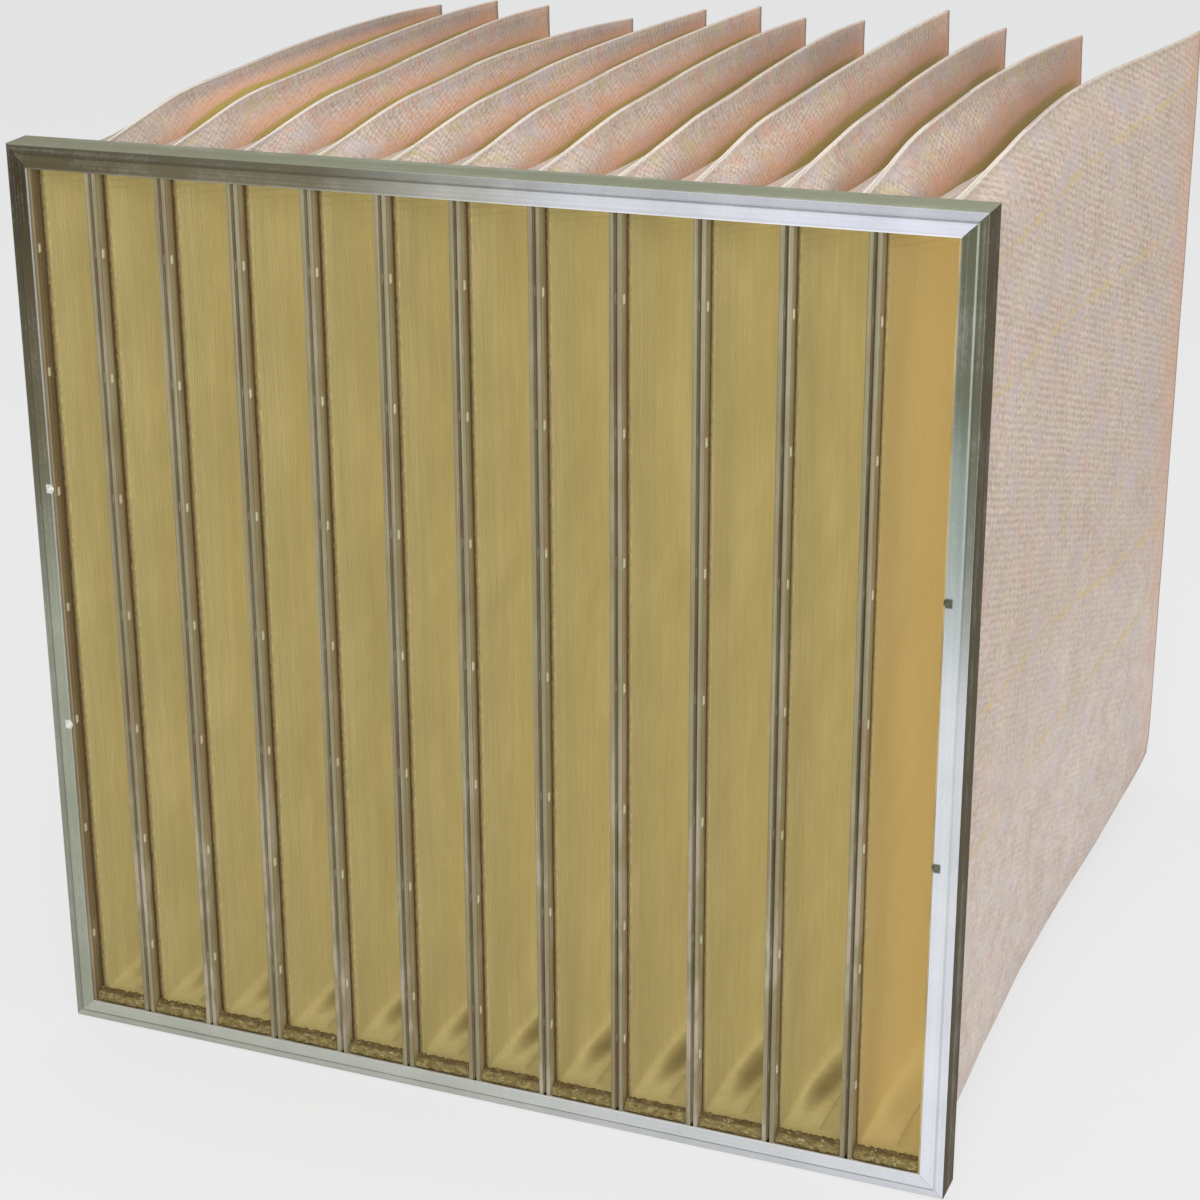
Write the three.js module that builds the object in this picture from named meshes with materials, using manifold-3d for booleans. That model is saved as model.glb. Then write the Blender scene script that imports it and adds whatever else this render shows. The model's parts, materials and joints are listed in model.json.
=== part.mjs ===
// Bag air filter: twelve glass-fibre pockets clamped in a square galvanised header.
// Millimetres. X is across the mouths, Y runs from the inlet face to the pocket tips and
// Z is up. The origin is the middle of the header's lower face, on which the filter stands.
// Inside the group the inlet face lies at Y = 0 and each sub-part is centred on its height.
import * as THREE from 'three';
import Module from 'manifold-3d';
import { mergeVertices } from 'three/addons/utils/BufferGeometryUtils.js';

const wasm = await Module();
wasm.setup();

// Header
const HEADER_SIZE = 592;
const HEADER_DEPTH = 25;
const HEADER_SHEET = 1.0;
const FLANGE_WIDTH = 14.2;
const REAR_FLANGE_WIDTH = 11.5;
const BEAD_WIDTH = 5.4;
const BEAD_SETBACK = 1.2;
const BEND = 0.8;
const MITRE_GAP = 0.3;
const CLINCH_OFFSET = 80;
const CLINCH_RADIUS = 2.6;
const CLINCH_PROUD = 1.4;
const CLINCH_EDGE = 1.2;
const CLINCH_SIDES = 10;
const CLINCH_TAPER = 0.55;

// Row of mouths, which reaches a little way under both side flanges
const POCKETS = 12;
const MOUTH_TUCK = 2;
const PITCH = (HEADER_SIZE - 2 * (FLANGE_WIDTH - MOUTH_TUCK)) / POCKETS;

// How far each divider between two mouths stands to the left of an even row
const DIVIDER_SHIFT = [2.9, 3.4, 2.8, 2.4, 3, 4.3, 4, 3.4, 2.3, 1.3, 0.2];

// Steel channel that clamps each long edge of a mouth
const CHANNEL_SHEET = 0.5;
const CHANNEL_DEPTH = 8.2;
const CHANNEL_SLOT = 2.1;
const CLAMPED_MEDIA = 1.2;
const FIT = 0.25;
const FACE_GAP = 0.3;
const CRIMPS = 7;
const CRIMP_PITCH = 77.5;
const CRIMP_HEIGHT = 7;
const CRIMP_WIDTH = 3;
const CRIMP_PROUD = 0.6;
const CRIMP_TOP_WIDTH_SHARE = 0.45;
const CRIMP_TOP_HEIGHT_SHARE = 0.7;

// Pockets
const OVERALL_DEPTH = 635;
const MEDIA = 1.6;
const MOUTH_END = 26;
const BELLY_DEPTH = 80;
const BELLY_BULGE = 1.35;
const SHOULDER_END = 160;
const SHOULDER_BULGE = 0.55;
const TAPER_START = 300;
const TAPER_HALF = 18;
const NARROW_DEPTH = 470;
const NARROW_HALF = 10.5;
const CAVITY_END = 600;
const CAVITY_HALF = 4.2;
const TIP_HALF_WIDTH = 2.2;
const SEAM_HALF_WIDTH = 1.2;
const SEAM_HEIGHT = 5;
const SEAM_ROOT = 3.5;
const SEAM_STEP = 0.1;
const CREST_SHARE = 0.2;
const CAVITY_STEP = 0.3;
const WALL_GAP = 0.3;
const TOP_RISE = 12;
const BOTTOM_SAG = 9;
const RISE_END = 200;
const TAPER_POWER = 1.4;
const SPLAY_START = 250;
const STITCH_PULL = 1.4;
const HEM_HEIGHT = 9.5;
const HEM_DEPTH = 6.5;
const HEM_SIDE_GAP = 0.6;

// Shoulders of a section below its top edge and above its bottom edge: share of the half
// width, distance from the edge, share of the lean, and how many wall thicknesses the
// inner face lies inwards and away from the edge
const TOP_DROPS = [14, 28, 46, 75];
const TOP_SHOULDER = [
  { share: 0.42, drop: TOP_DROPS[0], lean: 0.6, inset: 0.7, sink: 1.1 },
  { share: 0.74, drop: TOP_DROPS[1], lean: 0.3, inset: 0.9, sink: 0.8 },
  { share: 0.95, drop: TOP_DROPS[2], lean: 0.1, inset: 1, sink: 0.4 },
  { share: 1, drop: TOP_DROPS[3], lean: 0, inset: 1, sink: 0 },
];
const BOTTOM_DROPS = [9, 18, 33, 58];
const BOTTOM_SHOULDER = [
  { share: 0.6, drop: BOTTOM_DROPS[0], lean: 0, inset: 0.7, sink: 1.1 },
  { share: 0.86, drop: BOTTOM_DROPS[1], lean: 0, inset: 0.9, sink: 0.8 },
  { share: 0.97, drop: BOTTOM_DROPS[2], lean: 0, inset: 1, sink: 0.4 },
  { share: 1, drop: BOTTOM_DROPS[3], lean: 0, inset: 1, sink: 0 },
];
const MOUTH_CORNER_SHARE = 0.4;

// Heights above the middle of the header of the stitch rows and of the swells between them
const STITCH_ROWS = [152, 54, -44, -142];
const SWELLS = [103, 5, -93];

// Per pocket, left to right: how far its tip stands to the right of its mouth, how far its
// top edge leans to the right, and the height of its tip's top above the middle
const TIP_SPLAY = [-31.6, -29.9, -34.9, -14.4, -3.3, -6.4, -18.9, -22.3, -7.2, -14.2, -7.3, 23.1];
const TOP_LEAN = [-8.6, -6.9, -0.9, 1.6, 3.7, 0.7, 4.2, 6.7, -1.2, 5.8, -2.3, 7.1];
const TIP_TOP = [272, 277, 275, 268, 277, 281, 274, 274, 284, 273, 270, 277];
const TIP_BOTTOM = -276;

// Fits that follow from the values above
const HALF = HEADER_SIZE / 2;
const MOUTH_HALF_HEIGHT = HALF - FLANGE_WIDTH;
const CHANNEL_WIDTH = 2 * CHANNEL_SHEET + 2 * FIT + CLAMPED_MEDIA;
const CHANNEL_FRONT = HEADER_SHEET + FACE_GAP;
const SHEET_FRONT = CHANNEL_FRONT + CHANNEL_SHEET + FACE_GAP;
const CHANNEL_HALF_LENGTH = MOUTH_HALF_HEIGHT + 2 * FACE_GAP;
const WALL_INNER = CHANNEL_HALF_LENGTH + WALL_GAP;
const WALL_OUTER = WALL_INNER + CLAMPED_MEDIA;
const LAST_SHOULDER = TOP_SHOULDER.length - 1;

const OUTER_POINTS = 2 * (TOP_SHOULDER.length + 2) + STITCH_ROWS.length + SWELLS.length;

const COLOURS = {
  header: 0xaeb4ac,
  channel: 0x9a9c8e,
  media: 0xc9b3a2,
};

function clamp01(value) {
  return Math.min(1, Math.max(0, value));
}

function mix(from, to, share) {
  return from + (to - from) * share;
}

function ease(from, to, value) {
  const t = clamp01((value - from) / (to - from));
  return t * t * (3 - 2 * t);
}

function material(name, colour, metalness, roughness) {
  return new THREE.MeshStandardMaterial({ name, color: colour, metalness, roughness });
}

function geometryFrom(points, faces) {
  const geometry = new THREE.BufferGeometry();
  geometry.setAttribute('position', new THREE.Float32BufferAttribute(points.flat(), 3));
  geometry.setIndex(faces.flat());
  return geometry;
}

// Positions only, with the corners that faces share merged into one.
function bare(geometry) {
  const plain = new THREE.BufferGeometry();
  plain.setAttribute('position', geometry.getAttribute('position').clone());
  plain.setIndex(geometry.getIndex());
  return mergeVertices(plain, 1e-4);
}

function toSolid(geometry) {
  const merged = bare(geometry);
  const mesh = new wasm.Mesh({
    numProp: 3,
    vertProperties: new Float32Array(merged.getAttribute('position').array),
    triVerts: new Uint32Array(merged.getIndex().array),
  });
  return new wasm.Manifold(mesh);
}

function fromSolid(solid) {
  const mesh = solid.getMesh();
  const geometry = new THREE.BufferGeometry();
  const positions = new Float32Array(mesh.vertProperties);
  geometry.setAttribute('position', new THREE.BufferAttribute(positions, 3));
  geometry.setIndex(Array.from(mesh.triVerts));
  return geometry;
}

function join(geometries) {
  return fromSolid(geometries.map(toSolid).reduce((sum, next) => sum.add(next)));
}

function box(x0, x1, y0, y1, z0, z1) {
  const geometry = new THREE.BoxGeometry(x1 - x0, y1 - y0, z1 - z0);
  geometry.translate((x0 + x1) / 2, (y0 + y1) / 2, (z0 + z1) / 2);
  return geometry;
}

function node(name, geometry, finish, x, turn) {
  const flat = geometry.toNonIndexed();
  flat.computeVertexNormals();
  const mesh = new THREE.Mesh(flat, finish);
  mesh.name = name;
  mesh.position.set(x, 0, HALF);
  mesh.rotation.y = turn;
  return mesh;
}

function label(k) {
  return String(k + 1).padStart(2, '0');
}

// Row of mouths
// The line between mouths i - 1 and i; the first and the last line are the row's ends.
function dividerX(i) {
  const shift = i > 0 && i < POCKETS ? DIVIDER_SHIFT[i - 1] : 0;
  return (i - POCKETS / 2) * PITCH - shift;
}

function mouthCentre(k) {
  return (dividerX(k) + dividerX(k + 1)) / 2;
}

// Half the width of the media where it is clamped at mouth k.
function mouthHalf(k) {
  return (dividerX(k + 1) - dividerX(k) - CHANNEL_SLOT) / 2 - CHANNEL_SHEET - FIT;
}

// Header rails
// The section of a rail: y is the depth, d the distance inwards from the outer face.
function railSection() {
  const inner = HEADER_SHEET;
  return [
    [HEADER_DEPTH, REAR_FLANGE_WIDTH],
    [HEADER_DEPTH, BEND],
    [HEADER_DEPTH - BEND, 0],
    [BEAD_SETBACK + BEND, 0],
    [BEAD_SETBACK, BEND],
    [BEAD_SETBACK, BEAD_WIDTH - BEND],
    [0, BEAD_WIDTH],
    [0, FLANGE_WIDTH],
    [inner, FLANGE_WIDTH],
    [inner, BEAD_WIDTH + BEND / 2],
    [BEAD_SETBACK + inner, BEAD_WIDTH - BEND / 2],
    [BEAD_SETBACK + inner, inner + BEND / 2],
    [BEAD_SETBACK + inner + BEND / 2, inner],
    [HEADER_DEPTH - inner, inner],
    [HEADER_DEPTH - inner, REAR_FLANGE_WIDTH],
  ].map(([y, d]) => ({ y, d }));
}

function railGeometry() {
  const shape = new THREE.Shape(railSection().map(({ y, d }) => new THREE.Vector2(y, d)));
  const rail = bare(new THREE.ExtrudeGeometry(shape, { depth: 1, bevelEnabled: false }));
  const position = rail.getAttribute('position');
  for (let i = 0; i < position.count; i += 1) {
    const end = position.getZ(i) > 0.5 ? 1 : -1;
    const y = position.getX(i);
    const inwards = position.getY(i);
    position.setXYZ(i, end * (HALF - inwards - MITRE_GAP / 2), y, HALF - inwards);
  }
  return outward(rail);
}

function signedVolume(geometry) {
  const position = geometry.getAttribute('position');
  const index = geometry.getIndex();
  const corners = [new THREE.Vector3(), new THREE.Vector3(), new THREE.Vector3()];
  let volume = 0;
  for (let i = 0; i < index.count; i += 3) {
    corners.forEach((corner, k) => corner.fromBufferAttribute(position, index.getX(i + k)));
    volume += corners[0].dot(corners[1].cross(corners[2])) / 6;
  }
  return volume;
}

function outward(geometry) {
  if (signedVolume(geometry) > 0) {
    return geometry;
  }
  const index = geometry.getIndex();
  for (let i = 0; i < index.count; i += 3) {
    const kept = index.getX(i + 1);
    index.setX(i + 1, index.getX(i + 2));
    index.setX(i + 2, kept);
  }
  return geometry;
}

function clinchButton(height) {
  const length = CLINCH_PROUD + HEADER_SHEET / 2;
  const button = new THREE.CylinderGeometry(
    CLINCH_RADIUS,
    CLINCH_RADIUS * CLINCH_TAPER,
    length,
    CLINCH_SIDES,
  );
  const fromEdge = HALF - FLANGE_WIDTH + CLINCH_RADIUS - CLINCH_EDGE;
  button.translate(height, length / 2 - CLINCH_PROUD, fromEdge);
  return button;
}

function railNodes(finishes) {
  const plain = railGeometry();
  const clinched = join([plain, clinchButton(-CLINCH_OFFSET), clinchButton(CLINCH_OFFSET)]);
  const sides = [
    { name: 'header_rail_top', turn: 0, geometry: plain },
    { name: 'header_rail_left', turn: -Math.PI / 2, geometry: clinched },
    { name: 'header_rail_bottom', turn: Math.PI, geometry: plain },
    { name: 'header_rail_right', turn: Math.PI / 2, geometry: clinched },
  ];
  return sides.map(({ name, turn, geometry }) => node(name, geometry, finishes.header(), 0, turn));
}

// Clamping channels
// A channel at the right of a mouth, with its outer face at X = 0; the left one is its mirror.
function channelGeometry() {
  const outer = 0;
  const inner = -CHANNEL_WIDTH;
  const sheet = CHANNEL_SHEET;
  const front = CHANNEL_FRONT;
  const back = front + CHANNEL_DEPTH;
  const shape = new THREE.Shape([
    [inner, back],
    [inner, front + sheet],
    [inner + sheet, front],
    [outer - sheet, front],
    [outer, front + sheet],
    [outer, back],
    [outer - sheet, back],
    [outer - sheet, front + sheet],
    [inner + sheet, front + sheet],
    [inner + sheet, back],
  ].map(([x, y]) => new THREE.Vector2(x, y)));
  const length = 2 * CHANNEL_HALF_LENGTH;
  const bar = new THREE.ExtrudeGeometry(shape, { depth: length, bevelEnabled: false });
  bar.translate(0, 0, -CHANNEL_HALF_LENGTH);
  const crimps = [];
  for (let i = 0; i < CRIMPS; i += 1) {
    crimps.push(crimp((i - (CRIMPS - 1) / 2) * CRIMP_PITCH));
  }
  return join([bar, ...crimps]);
}

// A pip pressed into the inner leg, with its four sides sloping.
function crimp(height) {
  const middle = CHANNEL_FRONT + CHANNEL_DEPTH / 2;
  const buried = CHANNEL_SHEET / 2;
  const pip = box(
    -CHANNEL_WIDTH - CRIMP_PROUD,
    buried - CHANNEL_WIDTH,
    middle - CRIMP_WIDTH / 2,
    middle + CRIMP_WIDTH / 2,
    height - CRIMP_HEIGHT / 2,
    height + CRIMP_HEIGHT / 2,
  );
  const position = pip.getAttribute('position');
  for (let i = 0; i < position.count; i += 1) {
    if (position.getX(i) < -CHANNEL_WIDTH) {
      position.setY(i, mix(middle, position.getY(i), CRIMP_TOP_WIDTH_SHARE));
      position.setZ(i, mix(height, position.getZ(i), CRIMP_TOP_HEIGHT_SHARE));
    }
  }
  return pip;
}

function channelNodes(finishes) {
  const right = channelGeometry();
  const left = outward(right.clone().scale(-1, 1, 1));
  const nodes = [];
  for (let k = 0; k < POCKETS; k += 1) {
    const sides = [
      { side: 'left', geometry: left, x: dividerX(k) + CHANNEL_SLOT / 2 },
      { side: 'right', geometry: right, x: dividerX(k + 1) - CHANNEL_SLOT / 2 },
    ];
    for (const { side, geometry, x } of sides) {
      nodes.push(node(`channel_${label(k)}_${side}`, geometry, finishes.channel(), x, 0));
    }
  }
  return nodes;
}

// Pockets
// Stations along the depth of pocket k: its half width at each one.
function widthStations(k) {
  const mouth = mouthHalf(k);
  return [
    { y: SHEET_FRONT, half: mouth },
    { y: MOUTH_END, half: mouth },
    { y: BELLY_DEPTH, half: mouth + BELLY_BULGE },
    { y: SHOULDER_END, half: mouth + SHOULDER_BULGE },
    { y: TAPER_START, half: TAPER_HALF },
    { y: NARROW_DEPTH, half: NARROW_HALF },
    { y: CAVITY_END, half: CAVITY_HALF },
    { y: OVERALL_DEPTH, half: TIP_HALF_WIDTH },
  ];
}

function edgeHeight(y, rise, tip) {
  const climbed = WALL_OUTER + rise * ease(MOUTH_END, RISE_END, y);
  const tapered = clamp01((y - TAPER_START) / (OVERALL_DEPTH - TAPER_START));
  return climbed - (climbed - tip) * tapered ** TAPER_POWER;
}

// The measures of pocket k at depth y that its outer and inner section share.
function measures(k, y, half) {
  const open = clamp01((y - MOUTH_END) / (SHOULDER_END - MOUTH_END));
  const fullness = half / (mouthHalf(k) + BELLY_BULGE);
  return {
    y,
    half,
    open,
    centre: TIP_SPLAY[k] * ease(SPLAY_START, OVERALL_DEPTH, y),
    lean: TOP_LEAN[k] * open * fullness,
    top: edgeHeight(y, TOP_RISE, TIP_TOP[k]),
    bottom: edgeHeight(y, BOTTOM_SAG, -TIP_BOTTOM),
    pull: STITCH_PULL * open * fullness,
    wall: mix(CLAMPED_MEDIA, MEDIA, open),
  };
}

// The share of the half width at a shoulder point; a mouth has square corners instead.
function shoulderX(point, i, at) {
  const share = i < LAST_SHOULDER - 1 ? point.share : mix(1, point.share, at.open);
  return share * at.half;
}

function shoulderDrop(point, i, at) {
  const atMouth = i === LAST_SHOULDER ? point.drop * MOUTH_CORNER_SHARE : 0;
  return mix(atMouth, point.drop, at.open);
}

// The outer points of one shoulder, from the edge inwards.
function outerShoulder(shoulder, at) {
  const { half, open } = at;
  return [
    { x: SEAM_HALF_WIDTH, drop: 0, lean: 1 },
    { x: mix(half * CREST_SHARE, SEAM_HALF_WIDTH, open), drop: SEAM_HEIGHT * open, lean: 1 },
    ...shoulder.map((point, i) => ({
      x: Math.max(SEAM_HALF_WIDTH + SEAM_STEP * (i + 1), shoulderX(point, i, at)),
      drop: shoulderDrop(point, i, at),
      lean: point.lean,
    })),
  ];
}

// The inner points of one shoulder; place tells which outer point each one faces.
function innerShoulder(shoulder, at) {
  const { open, wall } = at;
  const crown = mix(CLAMPED_MEDIA, SEAM_HEIGHT + SEAM_ROOT, open);
  return [
    { x: 0, drop: crown, lean: 1, place: 0.5 },
    ...shoulder.map((point, i) => ({
      x: Math.max(CAVITY_STEP * (i + 1), shoulderX(point, i, at) - wall * point.inset),
      drop: shoulderDrop(point, i, at) + mix(i < LAST_SHOULDER ? 1 : 0, point.sink, open) * wall,
      lean: point.lean,
      place: 2 + i,
    })),
  ];
}

function fromTop(point, at) {
  return { x: point.x, z: at.top - point.drop, lean: point.lean * at.lean, place: point.place };
}

function fromBottom(point, at) {
  return { x: point.x, z: point.drop - at.bottom, lean: point.lean * at.lean, place: point.place };
}

// Right half of the outer section, from its top to its bottom.
function outerHalf(at) {
  const side = [];
  STITCH_ROWS.forEach((row, i) => {
    side.push({ x: at.half - at.pull, z: row, lean: 0 });
    if (i < SWELLS.length) {
      side.push({ x: at.half, z: SWELLS[i], lean: 0 });
    }
  });
  return [
    ...outerShoulder(TOP_SHOULDER, at).map((point) => fromTop(point, at)),
    ...side,
    ...outerShoulder(BOTTOM_SHOULDER, at).toReversed().map((point) => fromBottom(point, at)),
  ].map((point, place) => ({ ...point, place }));
}

// Right half of the inner section, from its top to its bottom.
function innerHalf(at) {
  const x = at.half - at.pull - at.wall;
  const side = STITCH_ROWS.map((z, i) => ({ x, z, lean: 0, place: LAST_SHOULDER + 3 + 2 * i }));
  const lower = innerShoulder(BOTTOM_SHOULDER, at).toReversed().map((point) => ({
    ...fromBottom(point, at),
    place: OUTER_POINTS - 1 - point.place,
  }));
  return [
    ...innerShoulder(TOP_SHOULDER, at).map((point) => fromTop(point, at)),
    ...side,
    ...lower,
  ];
}

// A closed section, anticlockwise seen from the inlet: up the right side and down the left.
function ring(halfSection, at) {
  const last = halfSection[halfSection.length - 1].place + halfSection[0].place;
  const right = halfSection.toReversed().map(({ x, z, lean, place }) => ({
    point: [at.centre + lean + x, at.y, z],
    place: last - place,
  }));
  const middlePoints = halfSection[0].x === 0;
  const leftHalf = middlePoints ? halfSection.slice(1, -1) : halfSection;
  const left = leftHalf.map(({ x, z, lean, place }) => ({
    point: [at.centre + lean - x, at.y, z],
    place: last + 1 + place,
  }));
  return [...right, ...left];
}

function addRing(points, section) {
  const first = points.length;
  section.forEach(({ point }) => points.push(point));
  return section.map((_, i) => first + i);
}

function sideFaces(front, back, inwards) {
  const faces = [];
  for (let i = 0; i < front.length; i += 1) {
    const j = (i + 1) % front.length;
    faces.push([front[i], back[i], front[j]], [front[j], back[i], back[j]]);
  }
  return inwards ? faces.map(([a, b, c]) => [a, c, b]) : faces;
}

// The front edge of the media, between an outer and an inner ring with unlike counts.
function rimFaces(outer, outerIds, inner, innerIds) {
  const faces = [];
  let i = 0;
  let j = 0;
  const turns = 10 * outer.length;
  const placeOf = (list, n) => list[n % list.length].place + (n >= list.length ? turns : 0);
  while (i < outer.length || j < inner.length) {
    const a = outerIds[i % outer.length];
    const b = innerIds[j % inner.length];
    const outerNext = i < outer.length && (
      j >= inner.length || placeOf(outer, i + 1) <= placeOf(inner, j + 1)
    );
    if (outerNext) {
      faces.push([a, outerIds[(i + 1) % outer.length], b]);
      i += 1;
    } else {
      faces.push([a, innerIds[(j + 1) % inner.length], b]);
      j += 1;
    }
  }
  return faces;
}

// A flat end across a section, in strips between its right and its left side.
function endFaces(ids, pointed, facesInlet) {
  const faces = [];
  const count = ids.length;
  const rungs = pointed ? count / 2 + 1 : count / 2;
  const across = (i) => ids[pointed ? (count - i) % count : count - 1 - i];
  for (let i = 0; i + 1 < rungs; i += 1) {
    faces.push([ids[i], ids[i + 1], across(i)], [across(i), ids[i + 1], across(i + 1)]);
  }
  const real = faces.filter((face) => new Set(face).size === 3);
  return facesInlet ? real : real.map(([a, b, c]) => [a, c, b]);
}

function pocketShell(k) {
  const points = [];
  const faces = [];
  const stations = widthStations(k);
  const outer = stations.map(({ y, half }) => {
    const at = measures(k, y, half);
    return ring(outerHalf(at), at);
  });
  const inner = stations.slice(0, -1).map(({ y, half }) => {
    const at = measures(k, y, half);
    return ring(innerHalf(at), at);
  });
  const outerIds = outer.map((section) => addRing(points, section));
  const innerIds = inner.map((section) => addRing(points, section));
  for (let i = 0; i + 1 < outer.length; i += 1) {
    faces.push(...sideFaces(outerIds[i], outerIds[i + 1], false));
  }
  for (let i = 0; i + 1 < inner.length; i += 1) {
    faces.push(...sideFaces(innerIds[i], innerIds[i + 1], true));
  }
  faces.push(...rimFaces(outer[0], outerIds[0], inner[0], innerIds[0]));
  faces.push(...endFaces(outerIds.at(-1), false, false));
  faces.push(...endFaces(innerIds.at(-1), true, true));
  return outward(geometryFrom(points, faces));
}

// The folded end of the media at the foot of mouth k.
function hem(k) {
  const inside = mouthHalf(k) + CHANNEL_SHEET + FIT - CHANNEL_WIDTH - HEM_SIDE_GAP;
  const front = SHEET_FRONT + FACE_GAP;
  const foot = -WALL_INNER - CLAMPED_MEDIA / 2;
  return box(-inside, inside, front, front + HEM_DEPTH, foot, HEM_HEIGHT - WALL_INNER);
}

function pocketNodes(finishes) {
  const nodes = [];
  for (let k = 0; k < POCKETS; k += 1) {
    const geometry = join([pocketShell(k), hem(k)]);
    nodes.push(node(`pocket_${label(k)}`, geometry, finishes.media(), mouthCentre(k), 0));
  }
  return nodes;
}

const finishes = {
  header: () => material('galvanised_header', COLOURS.header, 0.9, 0.45),
  channel: () => material('steel_channel', COLOURS.channel, 0.9, 0.5),
  media: () => material('glass_fibre_media', COLOURS.media, 0, 0.95),
};

const filter = new THREE.Group();
filter.name = 'bag_air_filter';
filter.position.y = -HEADER_DEPTH / 2;
filter.add(...railNodes(finishes), ...channelNodes(finishes), ...pocketNodes(finishes));

export default filter;
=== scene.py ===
"""Bag air filter: twelve glass-fibre pockets in a square galvanised header.

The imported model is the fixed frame. The header rails and the clamping channels stay as they
are and get steel finishes; each pocket is made again as one folded, sewn sheet of media with
its weave, seams, stitch rows and hems. Sizes are in millimetres inside the classes and are
turned to metres where a mesh is made. The axes are the frame's: X to the right seen from the
inlet, Y from the inlet towards the tips, and Z up from the header's lower face.
"""

import json
import logging
import math
from dataclasses import dataclass
from enum import Enum

import bmesh
import bpy
import numpy as np
from mathutils import Matrix, Vector, noise

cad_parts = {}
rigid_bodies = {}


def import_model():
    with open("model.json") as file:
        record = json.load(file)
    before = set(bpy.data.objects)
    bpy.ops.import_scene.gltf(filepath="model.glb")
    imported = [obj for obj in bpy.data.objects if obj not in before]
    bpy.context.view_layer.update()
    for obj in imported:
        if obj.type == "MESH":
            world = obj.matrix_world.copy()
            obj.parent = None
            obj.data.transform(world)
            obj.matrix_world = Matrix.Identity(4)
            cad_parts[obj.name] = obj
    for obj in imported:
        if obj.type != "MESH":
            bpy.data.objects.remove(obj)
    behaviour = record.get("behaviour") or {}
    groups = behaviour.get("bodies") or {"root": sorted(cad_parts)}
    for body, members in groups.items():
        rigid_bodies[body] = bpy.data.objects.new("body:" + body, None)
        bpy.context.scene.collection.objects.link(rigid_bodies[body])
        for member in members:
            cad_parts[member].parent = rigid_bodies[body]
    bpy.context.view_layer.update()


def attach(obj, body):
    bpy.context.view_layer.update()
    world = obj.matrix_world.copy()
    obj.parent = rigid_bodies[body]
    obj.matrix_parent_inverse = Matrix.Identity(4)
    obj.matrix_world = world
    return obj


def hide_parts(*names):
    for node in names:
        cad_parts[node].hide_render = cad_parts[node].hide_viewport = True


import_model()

log = logging.getLogger("bag_air_filter")

# Sizes of the header and of its row of mouths, in millimetres, and one millimetre in metres.
MM = 0.001
HEADER_SIZE = 592.0
HEADER_DEPTH = 25.0
POCKETS = 12
PITCH = 47.3
INLET_Y = -HEADER_DEPTH / 2
MIDDLE_Z = HEADER_SIZE / 2
HEM_OUTER = 283.2


def srgb(red: float, green: float, blue: float) -> tuple[float, float, float, float]:
    """Turns a colour as seen on a screen into linear light.

    Args:
        red: Red, 0 to 255.
        green: Green, 0 to 255.
        blue: Blue, 0 to 255.

    Returns:
        Linear red, green and blue, and an alpha of 1.
    """
    shares = [channel / 255 for channel in (red, green, blue)]
    linear = [s / 12.92 if s <= 0.04045 else ((s + 0.055) / 1.055) ** 2.4 for s in shares]
    return (*linear, 1.0)


BLACK = srgb(0, 0, 0)
WHITE = srgb(255, 255, 255)
DULL_SHINE = {"Specular IOR Level": 0.2}
DEAD_DULL = {"Specular IOR Level": 0.1}


def ease(low: float, high: float, value: float) -> float:
    """Returns 0 below low, 1 above high and a smooth step between them."""
    share = min(1.0, max(0.0, (value - low) / (high - low)))
    return share * share * (3 - 2 * share)


def mix(start: float, end: float, share: float) -> float:
    """Returns the value that lies the given share of the way from start to end."""
    return start + (end - start) * share


class Value:
    """One number that a shader works out, with the usual operators."""

    def __init__(self, graph: "Graph", socket: bpy.types.NodeSocket) -> None:
        """Wraps a socket of the graph's node tree."""
        self.graph = graph
        self.socket = socket

    def _math(self, operation: str, *values: "Value | float") -> "Value":
        """Adds one Math node.

        Args:
            operation: The Math node's operation.
            values: Its inputs, links or numbers.

        Returns:
            The node's result.
        """
        node = self.graph.node("ShaderNodeMath", {"operation": operation}, dict(enumerate(values)))
        return Value(self.graph, node.outputs[0])

    def __add__(self, other: "Value | float") -> "Value":
        """Adds."""
        return self._math("ADD", self, other)

    __radd__ = __add__

    def __sub__(self, other: "Value | float") -> "Value":
        """Subtracts."""
        return self._math("SUBTRACT", self, other)

    def __rsub__(self, other: "Value | float") -> "Value":
        """Subtracts from a number."""
        return self._math("SUBTRACT", other, self)

    def __mul__(self, other: "Value | float") -> "Value":
        """Multiplies."""
        return self._math("MULTIPLY", self, other)

    __rmul__ = __mul__

    def __truediv__(self, other: "Value | float") -> "Value":
        """Divides."""
        return self._math("DIVIDE", self, other)

    def __abs__(self) -> "Value":
        """Returns the size without its sign."""
        return self._math("ABSOLUTE", self)

    def sine(self) -> "Value":
        """Returns the sine of an angle in radians."""
        return self._math("SINE", self)

    def most(self, other: "Value | float") -> "Value":
        """Returns the larger of the two."""
        return self._math("MAXIMUM", self, other)

    def step(self, low: float, high: float, start: float = 0.0, end: float = 1.0) -> "Value":
        """Maps the value smoothly from one range to another.

        Args:
            low: Where the step starts.
            high: Where it ends.
            start: The result at low and below.
            end: The result at high and above.

        Returns:
            The mapped value.
        """
        values = {0: self, 1: low, 2: high, 3: start, 4: end}
        settings = {"interpolation_type": "SMOOTHSTEP"}
        node = self.graph.node("ShaderNodeMapRange", settings, values)
        return Value(self.graph, node.outputs[0])


class Colour:
    """One colour that a shader works out."""

    def __init__(self, graph: "Graph", socket: bpy.types.NodeSocket) -> None:
        """Wraps a socket of the graph's node tree."""
        self.graph = graph
        self.socket = socket

    def over(self, other: "Colour | tuple", share: "Value | float") -> "Colour":
        """Lays another colour over this one.

        Args:
            other: The colour on top.
            share: How much of it shows, 0 to 1.

        Returns:
            The mixed colour.
        """
        return self.graph.mixed(self, other, share)


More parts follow.
